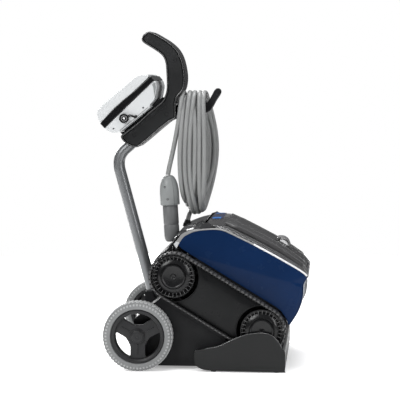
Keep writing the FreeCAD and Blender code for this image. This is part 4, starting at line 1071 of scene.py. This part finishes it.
def on_lid(name, stations, widths, lift, bevel=0.0):
    """A sheet that follows the lid: stations along it, widths across it, lift above it."""
    rows = [[robot(along, y, lid_height(along, y) + lift) for y in widths] for along in stations]
    return thick(sheet(name, rows, bevel, 2, angle=50), 1.6)


def build_ridges():
    stations = [a for a, _ in LID_LINE if 44 < a < 311]
    section = ((-1.1, -0.5), (-0.6, 0.7), (0.6, 0.7), (1.1, -0.5))
    ridges = []
    for share in (0.36, 0.66, 0.84, 0.93, 0.975):
        for _, side in SIDES:
            y = side * share * LID_HALF
            rows = [[robot(a, y + w, lid_height(a, y + w) + h) for w, h in section] for a in stations]
            ridges.append(sheet("ridge", rows, angle=40))
    piece(joined("lid_ridges", *ridges), "smoked_ridge", "lid")


def build_badge():
    plate = on_lid("lid_badge_plate", [3 + 27 * k / 12 for k in range(13)],
                   [-88 + 176 * k / 30 for k in range(31)], 0.6, 0.2)
    piece(plate, "badge_navy", "lid", "lid_badge")
    for name, side in SIDES:
        band = on_lid(f"{name}_badge_band", [5 + 20 * k / 8 for k in range(9)],
                      [side * (60 + 27 * k / 8) for k in range(9)][::side], 1.1, 0.2)
        piece(band, "badge_blue", "lid")


def build_lid():
    rows = []
    for along, out in LID_LINE:
        low = height_at(LID_LOW, along)
        rows.append(arch(along, low, max(out, low + 0.6)))
    window = thick(sheet("lid_shell", rows, 0.6, 2, angle=60), 2.6)
    piece(window, "smoked_window", "lid", "lid_window")
    build_ridges()
    piece(skin("lid_inner_frame", "lid_frame", 1.5, 2), "grey_trim", "lid", "lid_frame")
    build_badge()


def build_latch():
    route = flowing([(194.5, 211), (190, 214.6), (189.6, 219), (194.5, 223), (202, 226.8), (209, 227.6),
                     (216, 226.6), (223, 222.6), (229, 217.4), (233.6, 211.6)], 4, closed=False)
    section = ((-21, -1.9), (-22, -1.0), (-22, 0.8), (-20.2, 1.5), (20.2, 1.5), (22, 0.8), (22, -1.0),
               (21, -1.9))
    rows = []
    for i, (along, out) in enumerate(route):
        dx, dz = neighbours(route, i)
        rows.append([robot(along - dz * n, y, out + dx * n) for y, n in section])
    piece(bar("latch_arch", rows, 0.5, 2), "latch_grey", "latch", "lid_latch")
    plate = [(198, 213), (229, 213), (225, 217.6), (215, 221.6), (204, 221), (199, 217)]
    piece(slab("latch_plate", plate, robot, -17, 17, 1.4, 3), "bright_plate", "latch")
    seat = [(182, 210.4), (243, 209), (240, 212.6), (187, 213.4)]
    piece(slab("latch_seat", seat, robot, -27, 27, 0.8, 2), "dark_trim", "lid")


def build_rear_cover():
    rows = [arch(along, height_at(REAR_LOW, along), out, 168)
            for along, out in flowing(REAR_TOP, 5, closed=False)]
    shell = thick(sheet("rear_shell", rows, 0.6, 2, angle=50), 1.6)
    piece(shell, "smoked_cover", "cleaner", "rear_cover")
    cheek = [(-8, 141), (2, 148), (27, 165.5), (27, 168.4), (3, 170.4), (-3, 164), (-8, 158)]
    for name, side in SIDES:
        piece(slab(f"{name}_rear_cheek", cheek, robot, side * 167, side * 170.4, 0.6, 2), "smoked_cover",
              "cleaner")


def build_pleats():
    """The folded filter under the lid."""
    line = ((44, 189), (80, 194), (121, 197.5), (182, 201.5), (240, 202), (276, 200), (286, 194))
    rows = []
    for k in range(97):
        ridge = 2.2 if k % 2 else -2.2
        rows.append([robot(along, -146 + 292 * k / 96, height + ridge) for along, height in line])
    piece(thick(sheet("filter_pleats", rows, angle=25), 1.2, 0), "dark_trim", "lid")


def build_boot():
    axis = Vector((0.2, 0, 0.98)).normalized()
    side = Vector((0.98, 0, -0.2)).normalized()

    def at_boot(r, h, angle):
        across = side * r * math.cos(angle) + Vector((0, 1, 0)) * r * math.sin(angle)
        return caddy(111.5, 0, 371) + (axis * h + across) * MM

    profile = [(6.6, 19.8), (8.2, 19.8), (8.6, 18.6), (7.9, 17.6), (8.1, 16.6), (9.3, 15.6), (8.7, 14.4),
               (8.9, 13.4), (10.1, 12.4), (9.5, 11.2), (9.8, 10), (11, 8.8), (11, 0), (0, 0)]
    sleeve = lathe("cable_boot_sleeve", profile, at_boot, 40, angle=50)
    piece(sleeve, "black_rubber", "cleaner", "cable_boot")


def build_hull():
    for name, node, bevel, material, body in (
            ("hull_body", "cleaner_hull", 2.2, "black_plastic", "cleaner"),
            ("rear_guard", "rear_bumper", 1.4, "black_plastic", "cleaner"),
            ("stub_axles", "track_axles", 0.8, "steel", "cleaner"),
            ("hinge_pin", "lid_hinge_pin", 0.5, "steel", "cleaner"),
            ("pump_can", "pump_motor", 1.0, "dark_trim", "cleaner"),
            ("drive_cans", "drive_motors", 1.5, "dark_trim", "cleaner"),
            ("pump_impeller", "impeller", 0.6, "dark_trim", "impeller"),
            ("basket_body", "filter_basket", 1.4, "grey_trim", "cleaner")):
        piece(skin(name, node, bevel, 2), material, body, node)
    build_rear_cover()
    build_pleats()
    build_boot()


def build_brushes():
    for end, along in (("rear", 0), ("front", GAP)):
        bm = bmesh.new()
        add_lathe(bm, [(8.2, -167), (20, -167), (20, 167), (8.2, 167), (8.2, -167)],
                  about_y(robot, along, 0), 40)
        for k in range(8):
            for tooth in range(32):
                low_y = -166 + 332 * tooth / 32
                high_y = low_y + 332 / 32 - 2.2
                corners = []
                for r, half in ((19, 2.4), (40, 1.7), (61.5, 1.1)):
                    for y, sign in ((low_y, -1), (low_y, 1), (high_y, 1), (high_y, -1)):
                        trim = 0 if r < 60 else 0.8 * (1 if y == low_y else -1)
                        swept = (y / 332) * 0.5 + (r / 61.5) ** 2 * 0.16
                        angle = 2 * math.pi * k / 8 + swept + sign * half / r
                        corners.append(bm.verts.new(robot(along + r * math.cos(angle), y + trim,
                                                          r * math.sin(angle))))
                for ring in (0, 4):
                    for i in range(4):
                        j = (i + 1) % 4
                        bm.faces.new((corners[ring + i], corners[ring + j], corners[ring + 4 + j],
                                      corners[ring + 4 + i]))
                bm.faces.new(corners[8:12])
                bm.faces.new(list(reversed(corners[0:4])))
        brush = made(f"{end}_brush_comb", bm, angle=40)
        piece(brush, "black_rubber", f"{end}_brush", f"{end}_brush")


# ---------------------------------------------------------------- control box

CASE = [(-14.6, 43.7), (-13.5, 33), (-10.5, 26), (-4, 17.5), (11, 8.4), (119, 6.6), (123, 13), (142, 15.5),
        (155, 26), (169, 37.5), (175, 50), (175.4, 55.8)]
LID = [(-15.5, 61.7), (174.8, 72.55), (168, 83), (157, 92), (143, 97), (12, 97), (-3, 91), (-12, 75)]
BAND_TOP = [(-16, 62), (36, 68.6), (77, 70), (116, 69.4), (153, 70.2), (175.6, 72)]
BAND_LOW = [(176, 55.4), (140, 54), (102, 52), (59, 49), (-15, 43)]
BUTTONS = (("start", 60, "button_blue"), ("mode", 100, "grey_trim"))  # name, place along the lid, finish


def drilled(name, obj, *cutters):
    """A piece with holes where other shapes were."""
    for cutter in cutters:
        hole = obj.modifiers.new("hole", "BOOLEAN")
        hole.object = cutter
        hole.solver = "EXACT"
    bpy.context.view_layer.update()
    result = joined(name, obj)
    result.data.set_sharp_from_angle(angle=math.radians(35))
    for cutter in cutters:
        bpy.data.objects.remove(cutter)
    return result


def build_case():
    case = slab("box_case_shell", rounded(CASE, 5, 4), box, -107.6, 107.6, 5, 5, angle=50)
    piece(case, "white_shell", "control_box", "box_case")
    lid = slab("box_lid_body", rounded(LID, 14, 7), box, -108, 108, 7, 6, angle=50)
    well = [(0, 91), (9.3, 91), (9.3, 99), (0, 99)]
    wells = [lathe("well", well, about_out(box, along, 0), 36) for _, along, _ in BUTTONS]
    piece(drilled("box_lid_shell", lid, *wells), "white_shell", "control_box", "box_lid")
    band_line = flowing(BAND_TOP, 3, closed=False) + flowing(BAND_LOW, 3, closed=False)
    band = slab("box_band_seal", band_line, box, -109.9, 109.9, 2, 4, angle=60)
    piece(band, "gloss_black", "control_box", "box_band")
    # Grey patches on the white case's sides, at the upper end facet and along the bottom edge: painted
    # shade.
    facet = rounded([(158, 31), (168, 39), (173, 50), (172.5, 52), (164, 51), (161, 42),
                     (148, 22)], 2, 3)
    strip = rounded([(13, 10.4), (116, 8.8), (117, 11), (14, 12.8)], 1, 2)
    ends = []
    for _, side in SIDES:
        ends.append(slab("facet", facet, box, side * 106.6, side * 108.4, 0.7, 2))
        ends.append(slab("strip", strip, box, side * 106.6, side * 108.5, 0.5, 2))
    piece(joined("box_end_painted_shade", *ends), "swivel_plastic", "control_box", slot="white_shell")
    dot = [(0, 108.2), (1.9, 108.3), (2.6, 107.6), (2.6, 107)]
    dots = [lathe("dot", dot, about_y(box, along, out, side), 16)
            for _, side in SIDES for along, out in ((104, 18.2), (4, 27))]
    piece(joined("box_screw_dots", *dots), "dark_trim", "control_box")
    piece(skin("power_block", "power_module", 2, 2), "dark_trim", "control_box", "power_module")


def build_outlet():
    """The cable outlet on the box's near side, and the tether of its cap."""
    at_outlet = about_y(box, 45, 29.5)
    shell = [(9.0, -107), (13, -107), (13, -118.6), (12.2, -119.8), (11.2, -120), (10.2, -119.8),
             (9.8, -118), (9.4, -112), (9.0, -108)]
    piece(lathe("outlet_ring_shell", shell, at_outlet, 40, angle=40), "gloss_black", "control_box",
          "box_outlet")
    ring = [(8.9, -111), (8.9, -116), (8.4, -116.8), (6.8, -116.8), (6.4, -116), (6.4, -111)]
    piece(lathe("outlet_inner_ring", ring, at_outlet, 32, angle=40), "grey_trim", "control_box")
    # The socket's floor is drawn black instead of grey: painted shade in the socket.
    well = [(6.3, -111), (6.3, -114.6), (3.4, -114.2), (3.4, -111)]
    piece(lathe("outlet_well_painted_shade", well, at_outlet, 32, angle=40), "gloss_black", "control_box",
          slot="grey_trim")
    core = [(3.2, -111), (3.2, -115.4), (2.4, -116.2), (0, -116.4)]
    piece(lathe("outlet_contacts", core, at_outlet, 32, angle=40), "bright_plate", "control_box")
    strands = []
    for lift in (-2.6, 2.6):
        route = [(56.5, -110.4, 27 + lift * 0.6), (62, -110.8, 26 + lift), (66, -111, 21 + lift),
                 (69, -110.8, 16 + lift), (71.5, -110.4, 12.4)]
        strands.append(tube("strand", [box(*p) for p in route], 1.3))
    knob = lathe("knob", [(0, -109), (4.6, -109), (4.8, -111.4), (3.6, -112.8), (0, -113)],
                 about_y(box, 72, 12.4), 24)
    piece(joined("outlet_tether_strands", knob, *strands), "black_rubber", "control_box", "outlet_tether")


def build_buttons():
    cap = [(0, 98.6), (5.5, 98.5), (7.2, 98.9), (8.6, 98.4), (9, 97.4), (9, 93.2), (0, 93.2)]
    collar = [(9.3, 96.4), (9.4, 97.3), (11.5, 97.6), (12.6, 96.6), (12.6, 95)]
    for name, along, material in BUTTONS:
        point = about_out(box, along, 0)
        node = f"{name}_button"
        piece(lathe(f"{node}_cap", cap, point, 36), material, node, node)
        piece(lathe(f"{node}_collar", collar, point, 36), "swivel_plastic", "control_box", slot="grey_trim")


def build_control_box():
    build_case()
    build_outlet()
    build_buttons()


def build_box_cradle():
    wedge = rounded([(120.6, 5.6), (125, 12), (142, 13.5), (158, 8.8), (160, 7.4), (146, 3.4),
                     (119, 3.4)], 1.5, 3)
    parts = []
    for _, side in SIDES:
        parts.append(slab("wedge", wedge, box, side * 40, side * 45, 1.2, 2))
        for low, start in ((0.6, 8), (4.4, 66)):
            rail = rounded([(start, low), (118, low), (118, low + 1.5), (start, low + 1.5)], 0.6, 2)
            parts.append(slab("rail", rail, box, side * 40, side * 47, 0.4, 2))
    tray = [(3, 3.4), (146, 3.4), (160, 7.4), (158, 8.8), (142, 13.2), (125, 11.8), (120.6, 5.4), (11, 7),
            (3, 11.6)]
    parts.append(slab("tray", tray, box, -40.5, 40.5, 0.8, 2))
    piece(joined("box_clip_cradle", *parts), "black_plastic", "caddy", "box_cradle")


# ---------------------------------------------------------------- the whole

build_stage()
cable, cable_path = build_cable()
housing, barrel = build_swivel()
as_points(cable_path)
build_mast()
build_handle()
build_hook()
build_base()
build_cradle()
build_wheels()
build_belts()
build_pulleys()
build_covers()
build_panels()
build_grille()
build_lid()
build_latch()
build_hull()
build_brushes()
build_control_box()
build_box_cradle()
